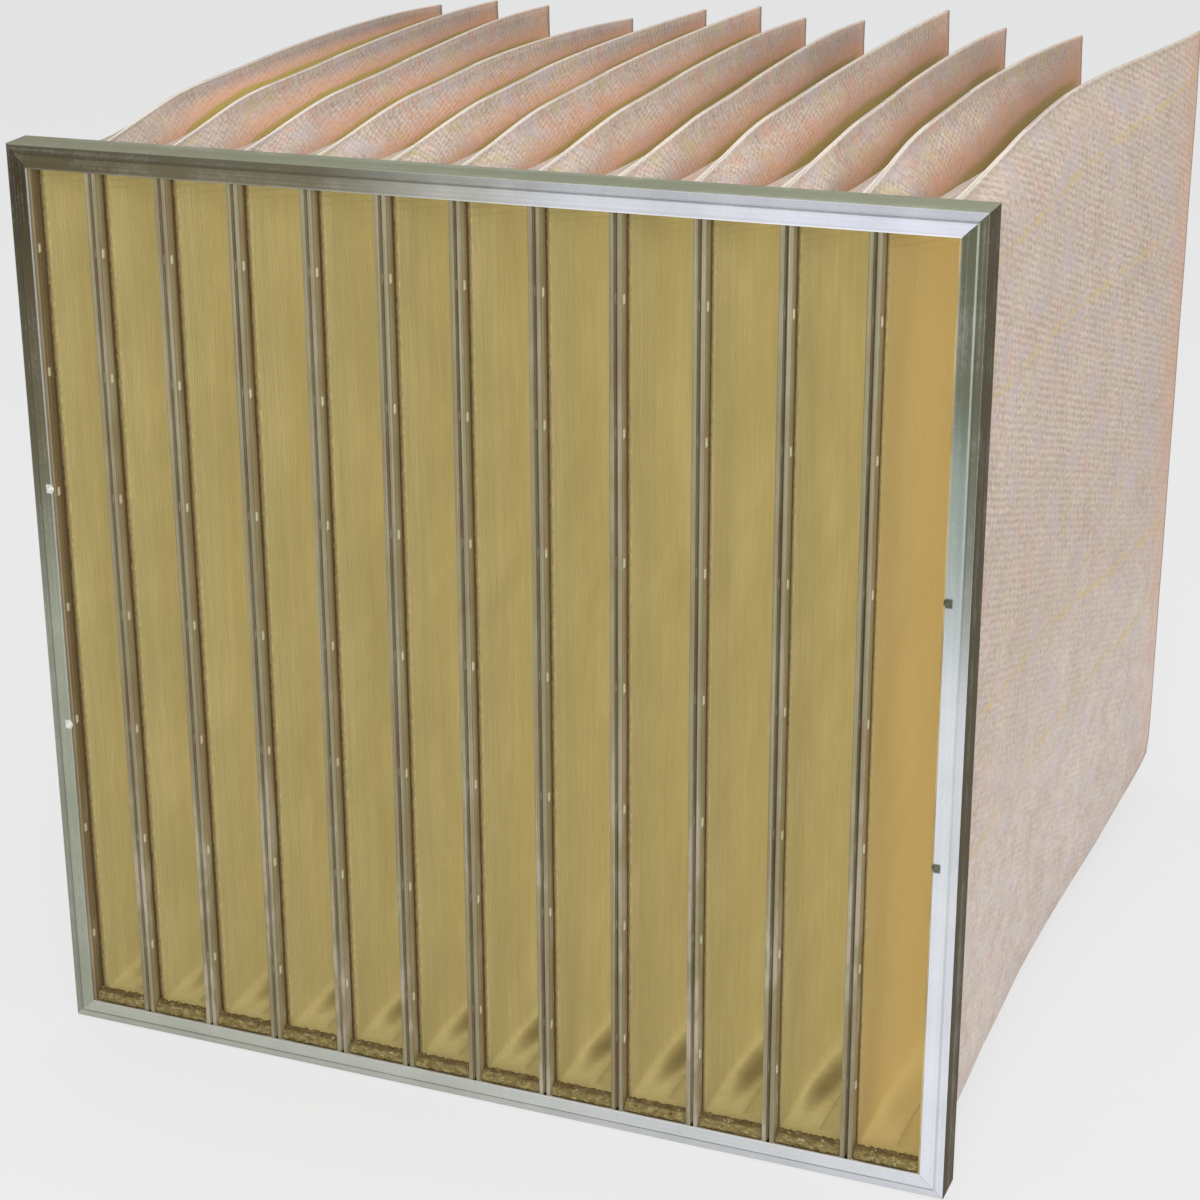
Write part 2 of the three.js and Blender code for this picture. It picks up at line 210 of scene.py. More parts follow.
class Graph:
    """The node tree of one material."""

    def __init__(self, name: str) -> None:
        """Starts a material with a Principled shader.

        Args:
            name: The material's name.
        """
        self.material = bpy.data.materials.new(name)
        self.material.use_nodes = True
        self.tree = self.material.node_tree
        self.shader = self.tree.nodes["Principled BSDF"]

    def node(self, kind: str, settings: dict, values: dict) -> bpy.types.Node:
        """Adds a node.

        Args:
            kind: The node's type.
            settings: Attributes that are set first.
            values: Numbers, colours or wrapped sockets by the input's name or place.

        Returns:
            The new node.
        """
        made = self.tree.nodes.new(kind)
        for name, value in settings.items():
            setattr(made, name, value)
        for key, value in values.items():
            if isinstance(value, (Value, Colour)):
                self.tree.links.new(value.socket, made.inputs[key])
            else:
                made.inputs[key].default_value = value
        return made

    def mixed(
        self, first: "Colour | tuple", second: "Colour | tuple", share: "Value | float"
    ) -> Colour:
        """Mixes two colours.

        Args:
            first: The colour below.
            second: The colour on top.
            share: How much of the second shows.

        Returns:
            The mixed colour.
        """
        node = self.node("ShaderNodeMix", {"data_type": "RGBA", "blend_type": "MIX"}, {})
        for place, value in ((0, share), (6, first), (7, second)):
            if isinstance(value, (Value, Colour)):
                self.tree.links.new(value.socket, node.inputs[place])
            else:
                node.inputs[place].default_value = value
        return Colour(self, node.outputs[2])

    def place(self) -> Colour:
        """Returns the Object coordinates, in metres."""
        source = self.node("ShaderNodeTexCoord", {}, {})
        return Colour(self, source.outputs["Object"])

    def mapped(self, name: str) -> Colour:
        """Returns the place on one of the sheet's own UV maps."""
        source = self.node("ShaderNodeUVMap", {"uv_map": name}, {})
        return Colour(self, source.outputs[0])

    def parts(self, vector: Colour) -> tuple[Value, Value, Value]:
        """Splits a vector into its three numbers."""
        node = self.node("ShaderNodeSeparateXYZ", {}, {0: vector})
        return tuple(Value(self, node.outputs[i]) for i in range(3))

    def grain(
        self, vector: Colour, per_metre: tuple[float, float, float], detail: float, rough: float
    ) -> Value:
        """Returns a smooth random value that is stretched along the axes.

        Args:
            vector: The place.
            per_metre: Features per metre along each axis.
            detail: Octaves.
            rough: The weight of the finer octaves.

        Returns:
            The noise, 0 to 1.
        """
        values = {0: vector, 1: per_metre}
        node = self.node("ShaderNodeVectorMath", {"operation": "MULTIPLY"}, values)
        return self.noise(Colour(self, node.outputs[0]), 1.0, detail, rough)

    def noise(self, vector: Colour, scale: float, detail: float = 3.0, rough: float = 0.5) -> Value:
        """Returns a smooth random value, about 0.5.

        Args:
            vector: The place.
            scale: Features per metre.
            detail: Octaves.
            rough: The weight of the finer octaves.

        Returns:
            The noise, 0 to 1.
        """
        node = self.node(
            "ShaderNodeTexNoise",
            {"noise_dimensions": "3D"},
            {"Vector": vector, "Scale": scale, "Detail": detail, "Roughness": rough},
        )
        return Value(self, node.outputs["Factor" if "Factor" in node.outputs else "Fac"])

    def ramp(self, value: Value, stops: tuple[tuple[float, tuple], ...]) -> Colour:
        """Turns a value into a colour.

        Args:
            value: The value, 0 to 1.
            stops: Places and colours, in order.

        Returns:
            The colour.
        """
        node = self.node("ShaderNodeValToRGB", {}, {})
        node.color_ramp.interpolation = "EASE"
        points = node.color_ramp.elements
        while len(points) < len(stops):
            points.new(0.5)
        for point, (where, colour) in zip(points, stops):
            point.position = where
            point.color = colour
        self.tree.links.new(value.socket, node.inputs[0])
        return Colour(self, node.outputs[0])

    def finish(
        self,
        colour: Colour,
        roughness: "Value | float",
        metallic: "Value | float",
        height: Value | None,
        relief: float,
        constants: dict[str, float] | None = None,
        glow: float = 0.0,
        share: Value | None = None,
    ) -> bpy.types.Material:
        """Connects the shader.

        Args:
            colour: The base colour.
            roughness: The roughness.
            metallic: The metallic share.
            height: The height of the relief, in units of relief.
            relief: What a height of 1 is, in metres.
            constants: Other inputs of the shader by name.
            glow: How strongly the surface glows with its own colour, a painted glow for
                the light inside a deep hollow.
            share: Where it does so, 0 to 1.

        Returns:
            The finished material.
        """
        self.tree.links.new(colour.socket, self.shader.inputs["Base Color"])
        # Painted glow: the surface gives off its own colour as light.
        if glow:
            given = colour if share is None else self.mixed(BLACK, colour, share)
            self.tree.links.new(given.socket, self.shader.inputs["Emission Color"])
            self.shader.inputs["Emission Strength"].default_value = glow
        for name, value in (("Roughness", roughness), ("Metallic", metallic)):
            if isinstance(value, Value):
                self.tree.links.new(value.socket, self.shader.inputs[name])
            else:
                self.shader.inputs[name].default_value = value
        for name, value in (constants or {}).items():
            self.shader.inputs[name].default_value = value
        if height is not None:
            bump = self.node("ShaderNodeBump", {}, {"Strength": 1.0, "Distance": relief})
            self.tree.links.new(height.socket, bump.inputs["Height"])
            self.tree.links.new(bump.outputs[0], self.shader.inputs["Normal"])
        return self.material


class Side(Enum):
    """The four sides of the header, seen from the inlet."""

    TOP = "top"
    LEFT = "left"
    BOTTOM = "bottom"
    RIGHT = "right"


@dataclass(frozen=True)
class GalvanisedSheet:
    """Zinc-coated header sheet: cloudy grey with drawn lines along the rail, with painted
    light and shade: tones along the rail, highlights on the folded edges and clinch points,
    and shade on the set-back strip.

    Lengths are distances from the rail's outer edge towards the mouths, in millimetres.

    Attributes:
        side: The rail that it is for.
        front: Colours of the front flange along the rail, from its left or lower end: the
            zinc's tone with the light and shade along the rail painted in.
        edge: Colours of the outer faces along the rail, darkened with painted shade.
        clinch: The colour of the clinch points of a side rail: a painted highlight, and
            painted shade on the right rail.
        clinch_offset: How far they stand above and below the rail's middle.
        bead_shade: The painted shade on the set-back outer strip.
        bead_share: How much of that shade shows on the upper part or right-hand end.
        bead_low: How much of it shows on the lower part or left-hand end.
        bead_width: The width of that strip.
        line: The colour of the step between the strip and the flange: painted shade in the step,
            and a painted highlight on the right rail.
        rim_highlight: How strong the painted highlight on the flange's inner edge is.
        rim_place: Where that painted highlight lies.
        fold_highlight_tone: The colour of the painted highlight on the fold at the outer edge.
        rim_highlight_tone: The colour of the painted highlight at the inner edge.
        soot_and_shade: The colour of the darker drawn lines.
        metal: How metallic the front is.
    """

    side: Side
    front: tuple[tuple[float, tuple], ...]
    edge: tuple[tuple[float, tuple], ...]
    clinch: tuple = srgb(220, 222, 216)
    clinch_offset: float = 80.0
    bead_shade: tuple = srgb(70, 72, 62)
    bead_share: float = 0.3
    bead_low: float = 0.3
    bead_width: float = 5.2
    line: tuple = srgb(58, 54, 40)
    rim_highlight: float = 0.5
    rim_place: float = 13.2
    fold_highlight_tone: tuple = srgb(225, 232, 228)
    rim_highlight_tone: tuple = srgb(226, 228, 226)
    soot_and_shade: tuple = srgb(40, 42, 34)
    metal: float = 0.3

    @property
    def level(self) -> bool:
        """True for the top and bottom rails."""
        return self.side in (Side.TOP, Side.BOTTOM)

    def build(self) -> bpy.types.Material:
        """Makes the material."""
        graph = Graph(f"galvanised_{self.side.value}")
        place = graph.place()
        x, y, z = graph.parts(place)
        along = (x / (HEADER_SIZE * MM) + 0.5) if self.level else z / (HEADER_SIZE * MM)
        across = abs(z - MIDDLE_Z * MM) if self.level else abs(x)
        inwards = HEADER_SIZE / 2 * MM - across
        drawn = (3.0, 90.0, 700.0) if self.level else (700.0, 90.0, 3.0)
        streaks = graph.grain(place, drawn, 4.0, 0.6)
        clouds = graph.noise(place, 38.0, 3.0, 0.55)
        spangle = graph.noise(place, 420.0, 2.0, 0.6)
        wave = along + (clouds - 0.5) * 0.05
        # The ramps paint the light and shade along the rail into its colour.
        front = graph.ramp(wave, self.front)
        edge = graph.ramp(wave, self.edge)
        on_front = y.step((INLET_Y + 1.4) * MM, (INLET_Y + 1.6) * MM, 1.0, 0.0)
        colour = edge.over(front, on_front)
        colour = self.folded(colour, along, wave, inwards, on_front)
        if not self.level:
            colour = self.clinched(colour, z, inwards, on_front)
        shade = (streaks - 0.5) * 0.34 + (clouds - 0.5) * 0.22 + (spangle - 0.5) * 0.12
        colour = colour.over(WHITE, shade.most(0.0))
        colour = colour.over(self.soot_and_shade, (shade * -1.0).most(0.0))
        height = streaks * 0.5 + clouds * 0.4 + spangle * 0.15
        worn = 0.42 + (clouds - 0.5) * 0.16 + (streaks - 0.5) * 0.1
        roughness = worn + (1.0 - on_front) * 0.35
        return graph.finish(
            colour, roughness, on_front * self.metal, height, 0.06 * MM, DULL_SHINE
        )

    def folded(
        self, colour: Colour, along: Value, wave: Value, inwards: Value, on_front: Value
    ) -> Colour:
        """Paints shade on the set-back strip and the step beside it (a highlight on the right
        rail's step), and highlights on the folded edges.

        Args:
            colour: The colour so far.
            along: The share of the rail's length.
            wave: The same, moved about a little.
            inwards: The distance from the outer edge, in metres.
            on_front: 1 on the front flange.

        Returns:
            The colour with them.
        """
        bead_end = self.bead_width + 0.3
        # Painted shade on the set-back strip.
        on_bead = inwards.step(self.bead_width * MM, bead_end * MM, 1.0, 0.0) * on_front
        shown = along.step(0.45, 0.8, self.bead_low, self.bead_share)
        colour = colour.over(self.bead_shade, on_bead * shown)
        # Painted shade in the step beside the strip; the right rail's pale colour paints a
        # highlight.
        off_step = abs(inwards - (self.bead_width + 0.4) * MM)
        groove = (1.0 - off_step.step(0.3 * MM, 0.8 * MM)) * on_front
        colour = colour.over(self.line, groove * 0.6)
        # Painted highlight on the fold at the outer edge.
        fold = inwards.step(0.1 * MM, 0.9 * MM, 1.0, 0.0) * on_front
        colour = colour.over(self.fold_highlight_tone, fold * 0.4)
        # Painted highlight along the flange's inner edge.
        rim_highlight = inwards.step(self.rim_place * MM, (self.rim_place + 0.6) * MM) * on_front
        return colour.over(self.rim_highlight_tone, rim_highlight * wave.step(0.25, 0.8, 0.1, self.rim_highlight))

    def clinched(self, colour: Colour, z: Value, inwards: Value, on_front: Value) -> Colour:
        """Adds the two clinch points of a side rail as painted highlights (shade on the right
        rail).

        Args:
            colour: The colour so far.
            z: The height, in metres.
            inwards: The distance from the outer edge, in metres.
            on_front: 1 on the front flange.

        Returns:
            The colour with them.
        """
        # Painted highlight on the clinch points; the right rail's darker colour paints shade there.
        height_off = abs(abs(z - MIDDLE_Z * MM) - self.clinch_offset * MM)
        point = height_off.step(2.2 * MM, 3.4 * MM, 1.0, 0.0)
        point = point * inwards.step(9.6 * MM, 10.8 * MM)
        return colour.over(self.clinch, point * on_front * 0.9)


@dataclass(frozen=True)
class ChannelSteel:
    """Bare clamping channel: a bright front, legs darkened towards the back with painted shade,
    and crimp marks with painted highlights.

    Attributes:
        name: The material's name.
        lip: The colour of the front face.
        leg: The colour of the legs near the front.
        deep: The colour of the legs at the back, a painted shade.
        foot: The colour of the worn patches near the foot.
        wear: How much of those patches the upper part has.
        bend: The colour of the bend between the face and the legs.
        stain: The colour of the brown stains.
        crimp: The painted highlight on the crimp marks.
        crimp_rows: Heights of the crimp marks above the middle, in millimetres.
        bright: The colour of the lighter drawn lines.
        soot_and_shade: The colour of the darker drawn lines.
    """

    name: str = "channel_steel"
    lip: tuple = srgb(118, 112, 84)
    leg: tuple = srgb(140, 128, 94)
    deep: tuple = srgb(108, 94, 62)
    foot: tuple = srgb(196, 182, 170)
    wear: float = 0.25
    bend: tuple = srgb(104, 94, 68)
    stain: tuple = srgb(112, 84, 66)
    crimp: tuple = srgb(188, 178, 146)
    crimp_rows: tuple[float, ...] = tuple((i - 3) * 77.5 for i in range(7))
    bright: tuple = srgb(236, 236, 224)
    soot_and_shade: tuple = srgb(34, 30, 22)

    def build(self) -> bpy.types.Material:
        """Makes the material."""
        graph = Graph(self.name)
        place = graph.place()
        _, y, z = graph.parts(place)
        drawn = graph.grain(place, (900.0, 900.0, 5.0), 4.0, 0.6)
        patches = graph.grain(place, (60.0, 60.0, 22.0), 3.0, 0.6)
        depth = y - (INLET_Y + 1.3) * MM
        on_lip = depth.step(0.45 * MM, 0.75 * MM, 1.0, 0.0)
        # The legs darken towards the back: painted shade inside the mouth.
        colour = graph.mixed(self.leg, self.deep, depth.step(3.0 * MM, 8.2 * MM))
        on_bend = depth.step(0.4 * MM, 0.8 * MM) * depth.step(1.0 * MM, 1.8 * MM, 1.0, 0.0)
        colour = colour.over(self.bend, on_bend * 0.6)
        colour = colour.over(self.lip, on_lip)
        worn = patches.step(0.5, 0.66) * z.step(10 * MM, 330 * MM, 1.0, self.wear)
        colour = colour.over(self.foot, worn * 0.34)
        colour = colour.over(self.stain, patches.step(0.5, 0.34) * 0.35)
        # Painted highlight on the crimp marks.
        colour = colour.over(self.crimp, self.crimped(z) * self.leg_band(depth) * 0.52)
        shade = (drawn - 0.5) * 0.6
        colour = colour.over(self.bright, shade.most(0.0))
        colour = colour.over(self.soot_and_shade, (shade * -1.0).most(0.0))
        height = drawn + patches * 0.5
        roughness = 0.45 + (patches - 0.5) * 0.3
        # The steel glows faintly with its own colour: a painted glow.
        return graph.finish(colour, roughness, 0.1, height, 0.05 * MM, None, 0.2)

    def crimped(self, z: Value) -> Value:
        """Finds the heights of the crimp marks.

        Args:
            z: The height, in metres.

        Returns:
            1 at those heights and 0 elsewhere.
        """
        rows = [abs(z - (MIDDLE_Z + row) * MM) for row in self.crimp_rows]
        first, *others = [row.step(2.0 * MM, 3.4 * MM, 1.0, 0.0) for row in rows]
        for near in others:
            first = first.most(near)
        return first

    def leg_band(self, depth: Value) -> Value:
        """Finds the strip of the legs where the crimp marks lie.

        Args:
            depth: The distance behind the channel's face, in metres.

        Returns:
            1 on that strip and 0 elsewhere.
        """
        return depth.step(1.6 * MM, 2.4 * MM) * depth.step(4.4 * MM, 5.2 * MM, 1.0, 0.0)


@dataclass(frozen=True)
class ScrimPlace:
    """What the scrim's finish knows about a point of the cloth.

    Attributes:
        point: The point itself.
        x: Its place across the header, in metres.
        z: Its height, in metres.
        along: The distance along the sheet from its clamped edge, in metres.
        down: The distance down the sheet from the seam, in metres.
        depth: The distance behind the inlet face, in millimetres.
        sunk: How deep it lies in the gap beside the next pocket, where 1 is the end of the light.
        cloud: A broad random value.
        wobble: How far the threads wander there, in radians of the weave.
    """

    point: Colour
    x: Value
    z: Value
    along: Value
    down: Value
    depth: Value
    sunk: Value
    cloud: Value
    wobble: Value


@dataclass(frozen=True)
class ScrimFinish:
    """Outside of the media: a pale pink spun scrim with a fine diagonal weave.

    Attributes:
        name: The material's name.
        light: The raised threads.
        dark: The hollows between them.
        warm: The warm tint painted as bounce light below a seam in the gap, also laid on
            towards the tip.
        shaded: The olive shade deep in the gap between two pockets.
        straw: The yellow flecks.
        peach: The orange flecks.
        lilac: The cool flecks.
        dim: The tone of the pockets far from the lamps, at the left.
        blotched: The whitish blotches of the lower part.
        stitched: The thread of the stitch rows.
        seam: The pale edge of the top seam, partly its own cream colour and partly a painted
            highlight.
        shadow_below_seam: The painted shadow line under it.
        tip: The tone of the fold at the tip.
        cell_length: The length of a cell of the weave, in millimetres.
        cell_height: Its height.
        row_slope: How much a row of cells climbs along the pocket.
        row_share: How much of the weave is rows rather than columns.
        wander: How far the threads wander, in radians of the weave.
        by_height: True where the rows keep to the height instead of to the top seam.
        contrast: How strong the weave is.
        mottle: How strong the whitish blotches are.
        crowded: How much the next pocket shades and warms the wall.
        calm: How much of the weave shows in the lower half.
        rows: Heights of the stitch rows above the middle at the front, and at the tip.
        row_length: The distance from the front to the tip, in millimetres.
        relief: How high the weave stands, in millimetres.
    """

    name: str
    light: tuple = srgb(212, 196, 182)
    dark: tuple = srgb(168, 149, 134)
    warm: tuple = srgb(226, 164, 122)
    shaded: tuple = srgb(172, 152, 74)
    straw: tuple = srgb(192, 176, 120)
    peach: tuple = srgb(212, 152, 124)
    lilac: tuple = srgb(188, 176, 182)
    dim: tuple = srgb(148, 130, 120)
    blotched: tuple = srgb(234, 226, 222)
    stitched: tuple = srgb(204, 178, 104)
    seam: tuple = srgb(234, 226, 212)
    shadow_below_seam: tuple = srgb(150, 130, 112)
    tip: tuple = srgb(140, 116, 84)
    cell_length: float = 7.4
    cell_height: float = 3.2
    row_slope: float = 0.24
    row_share: float = 0.5
    wander: float = 9.0
    by_height: bool = False
    contrast: float = 0.5
    mottle: float = 0.3
    crowded: float = 1.0
    calm: float = 0.45
    rows: tuple[tuple[float, float], ...] = ((152.0, 152.0), (54.0, 54.0), (-44.0, -44.0))
    row_length: float = 620.0
    relief: float = 0.24

    def build(self) -> bpy.types.Material:
        """Makes the material."""
        graph = Graph(self.name)
        at = self.place(graph)
        weave = self.weave(graph, at)
        fleck = graph.grain(at.point, (330.0, 150.0, 330.0), 3.0, 0.7)
        lit = weave * 0.55 + (fleck - 0.5) * 1.1 + (at.cloud - 0.5) * 0.4 + 0.22
        colour = graph.mixed(self.dark, self.light, lit.step(0.1, 0.9))
        colour = self.flecked(graph, at, colour)
        colour = self.shadowed(at, colour)
        colour = self.weathered(graph, at, colour)
        colour = self.sewn(graph, at, colour)
        height = weave * 1.2 + fleck * 0.5 + at.cloud * 0.6
        constants = {"Sheen Weight": 0.05, **DULL_SHINE}
        return graph.finish(colour, 0.88, 0.0, height, self.relief * MM, constants)

    def place(self, graph: Graph) -> ScrimPlace:
        """Works out what the finish needs to know about a point.

        Args:
            graph: The material's nodes.

        Returns:
            The values.
        """
        point = graph.place()
        x, y, z = graph.parts(point)
        along, down, _ = graph.parts(graph.mapped("sheet"))
        sunk, _, _ = graph.parts(graph.mapped("gap"))
        slow = graph.noise(point, 24.0, 2.0) - 0.5
        wobble = slow * 3.4 + (graph.noise(point, 190.0) - 0.5) * self.wander
        cloud = graph.noise(point, 26.0, 4.0, 0.6)
        return ScrimPlace(point, x, z, along, down, y / MM - INLET_Y, sunk, cloud, wobble)

    def weave(self, graph: Graph, at: ScrimPlace) -> Value:
        """Draws the weave from wandering rows and columns.

        Args:
            graph: The material's nodes.
            at: The point's values.

        Returns:
            The weave, about 0.5.
        """
        turn = 2 * math.pi / MM
        across = (at.along * (turn / self.cell_length) + at.wobble).sine()
        level = HEADER_SIZE * MM - at.z if self.by_height else at.down
        climbed = level + at.along * self.row_slope
        upright = (climbed * (turn / self.cell_height) + at.wobble).sine()
        clear = graph.noise(at.point, 42.0, 2.0).step(0.34, 0.6, 0.3, 1.0)
        calm = at.z.step(230 * MM, 430 * MM, self.calm, 1.0)
        threads = across * (1.0 - self.row_share) - upright * self.row_share
        return threads * clear * calm * self.contrast + 0.5

    def flecked(self, graph: Graph, at: ScrimPlace, colour: Colour) -> Colour:
        """Adds the flecks of three tints, and the dimmer tone of the pockets at the left.

        Args:
            graph: The material's nodes.
            at: The point's values.
            colour: The colour so far.

        Returns:
            The colour with them.
        """
        hue = graph.grain(at.point, (80.0, 38.0, 70.0), 3.0, 0.6)
        tint = graph.grain(at.point, (-60.0, 28.0, 52.0), 3.0, 0.6)
        straw = 0.22 + 0.26 * self.crowded
        peach = 0.18 + 0.2 * self.crowded
        colour = colour.over(self.straw, hue.step(0.52, 0.66) * straw)
        colour = colour.over(self.peach, hue.step(0.48, 0.34) * peach)
        colour = colour.over(self.lilac, tint.step(0.52, 0.66) * 0.48)
        return colour.over(self.dim, at.x.step(-296 * MM, -90 * MM, 0.42, 0.0))

    def shadowed(self, at: ScrimPlace, colour: Colour) -> Colour:
        """Paints the warm bounce light and the olive shade of the gap beside the next pocket,
        and the warm tint towards the tip.

        Args:
            at: The point's values.
            colour: The colour so far.

        Returns:
            The colour with them.
        """
        fall = at.sunk + (at.cloud - 0.5) * 0.12 + at.x.step(-280 * MM, 240 * MM, -0.01, 0.1)
        # Painted warm bounce light in the gap below the seam.
        warmed = fall.step(0.3, 0.88) * fall.step(1.2, 2.6, 0.6, 0.2) * self.crowded
        colour = colour.over(self.warm, warmed)
        band = fall.step(0.83, 0.97) * fall.step(1.15, 1.8, 0.88, 0.0)
        band = band * at.depth.step(596.0, 630.0, 1.0, 0.0) * self.crowded
        colour = colour.over(self.shaded, band)
        return colour.over(self.warm, at.depth.step(540.0, 628.0) * 0.3)

    def weathered(self, graph: Graph, at: ScrimPlace, colour: Colour) -> Colour:
        """Adds the whitish blotches of the lower part.

        Args:
            graph: The material's nodes.
            at: The point's values.
            colour: The colour so far.

        Returns:
            The colour with them.
        """
        blotch = graph.grain(at.point, (110.0, 36.0, 58.0), 4.0, 0.66)
        patch = (blotch.step(0.3, 0.74) * 0.7 + 0.3) * at.z.step(300 * MM, 110 * MM)
        return colour.over(self.blotched, patch * self.mottle)

    def sewn(self, graph: Graph, at: ScrimPlace, colour: Colour) -> Colour:
        """Adds the stitch rows, the top seam with its painted highlight and the painted shadow
        under it, and the fold at the tip.

        Args:
            graph: The material's nodes.
            at: The point's values.
            colour: The colour so far.

        Returns:
            The colour with them.
        """
        for front, tip in self.rows:
            slope = (tip - front) / self.row_length
            level = at.z / MM - (MIDDLE_Z + front)
            row = abs(level - at.depth * slope + (at.cloud - 0.5) * 6.0)
            broken = graph.noise(at.point, 120.0, 2.0).step(0.35, 0.6)
            colour = colour.over(self.stitched, row.step(1.0, 3.4, 1.0, 0.0) * broken * 0.55)
        # Painted highlight on the seam's pale edge, and a painted shadow line under it.
        thinner = at.x.step(-300 * MM, 200 * MM, 1.7, 1.0)
        taken = at.depth.step(40.0, 200.0, 1.1, 0.0) * (2.0 - thinner)
        widened = at.down / MM * thinner - taken
        seam = widened.step(0.3, 1.5, 1.0, 0.0)
        colour = colour.over(self.seam, seam * at.depth.step(60.0, 420.0, 0.82, 0.35))
        under = widened.step(1.4, 2.6) * widened.step(4.0, 7.5, 1.0, 0.0)
        colour = colour.over(self.shadow_below_seam, under * 0.25)
        return colour.over(self.tip, at.depth.step(629.0, 634.0) * 0.6)


@dataclass(frozen=True)
class FibreFinish:
    """Inside of the media: loose yellow glass fibre that runs up and down.

    Attributes:
        name: The material's name.
        body: The main colour.
        pale: The colour of standing fibres.
        dull: The colour of the hollows.
        calm: How much of the fibre pattern is left out.
        crease_shade_strength: How dark the painted shade in the crease at the bottom seam is.
        glow: How strongly the fibre glows with its own colour, a painted glow for the
            light in the deep hollow.
        torn: The torn edge beside the channels.
        torn_deep: The shade under that edge.
        fringe: The pale tufts along it.
        soot_and_shade: The painted shade in the crease over the bottom seam.
        ruling: The ruled lines under the top seam.
        crease: How far down the sheet's map that shade lies, in millimetres.
        ruling_top: The height of the ruled lines above the middle.
        ruling_pitch: The distance between two of them.
    """

    name: str
    body: tuple = srgb(176, 163, 113)
    pale: tuple = srgb(198, 184, 132)
    dull: tuple = srgb(154, 145, 100)
    calm: float = 0.0
    crease_shade_strength: float = 0.68
    glow: float = 0.5
    torn: tuple = srgb(124, 108, 74)
    torn_deep: tuple = srgb(84, 68, 42)
    fringe: tuple = srgb(214, 200, 150)
    soot_and_shade: tuple = srgb(84, 70, 40)
    ruling: tuple = srgb(142, 126, 76)
    crease: float = 49.0
    ruling_top: float = 281.0
    ruling_pitch: float = 4.6

    def build(self) -> bpy.types.Material:
        """Makes the material."""
        graph = Graph(self.name)
        place = graph.place()
        _, y, z = graph.parts(place)
        depth = y / MM - INLET_Y
        upright = graph.grain(place, (120.0, 120.0, 9.0), 5.0, 0.65)
        fine = graph.grain(place, (600.0, 600.0, 60.0), 3.0, 0.6)
        ragged = graph.grain(place, (420.0, 420.0, 260.0), 4.0, 0.8)
        cloud = graph.noise(place, 16.0, 3.0, 0.5)
        lit = (upright - 0.5) * 0.7 + (fine - 0.5) * 0.5 + (cloud - 0.5) * 0.7
        lit = lit * (1.0 - self.calm)
        colour = graph.mixed(self.body, self.pale, lit.most(0.0) * 1.5)
        colour = colour.over(self.dull, (lit * -1.5).most(0.0))
        colour = self.edged(colour, depth, ragged)
        colour = self.paint_crease_shade(graph, colour, depth, z, cloud)
        level = z / MM - (MIDDLE_Z + self.ruling_top) + depth * 0.2
        ruled = (level * (2 * math.pi / self.ruling_pitch)).sine().step(0.6, 1.0)
        near_top = level.step(-20.0, -4.0) * upright.step(0.35, 0.6)
        colour = colour.over(self.ruling, ruled * near_top * 0.35)
        height = upright + fine * 0.7 + ragged * 0.3
        # Painted glow of the fibre's own colour, stronger deeper inside the pocket.
        return graph.finish(
            colour, 0.95, 0.0, height, 0.5 * MM, DEAD_DULL, self.glow,
            depth.step(14.0, 120.0, 0.5, 1.0),
        )

    def edged(self, colour: Colour, depth: Value, ragged: Value) -> Colour:
        """Adds the torn edge where the media leaves the channels.

        Args:
            colour: The colour so far.
            depth: The distance behind the inlet face, in millimetres.
            ragged: A fine random value.

        Returns:
            The colour with it.
        """
        torn = depth + (ragged - 0.5) * 7.0
        colour = colour.over(self.torn, torn.step(13.0, 19.4, 1.0, 0.0) * 0.95)
        colour = colour.over(self.torn_deep, torn.step(12.4, 14.6, 1.0, 0.0))
        fringe = torn.step(17.0, 18.4) * torn.step(19.0, 21.0, 1.0, 0.0)
        return colour.over(self.fringe, fringe * ragged.step(0.45, 0.62) * 0.5)

    def paint_crease_shade(
        self, graph: Graph, colour: Colour, depth: Value, z: Value, cloud: Value
    ) -> Colour:
        """Paints the shade in the crease over the bottom seam.

        Args:
            graph: The material's nodes.
            colour: The colour so far.
            depth: The distance behind the inlet face, in millimetres.
            z: The height, in metres.
            cloud: A broad random value.

        Returns:
            The colour with it.
        """
        _, down, _ = graph.parts(graph.mapped("sheet"))
        # Painted shade in the deep crease over the bottom seam.
        off = abs(down / MM - self.crease - (cloud - 0.5) * 8.0) / depth.step(24.0, 84.0, 3.0, 10.0)
        painted_crease_shade = off.step(0.1, 1.0, 1.0, 0.0) * z.step(100 * MM, 60 * MM)
        painted_crease_shade = painted_crease_shade * depth.step(28.0, 74.0) * depth.step(90.0, 150.0, 1.0, 0.3)
        return colour.over(self.soot_and_shade, painted_crease_shade * self.crease_shade_strength)


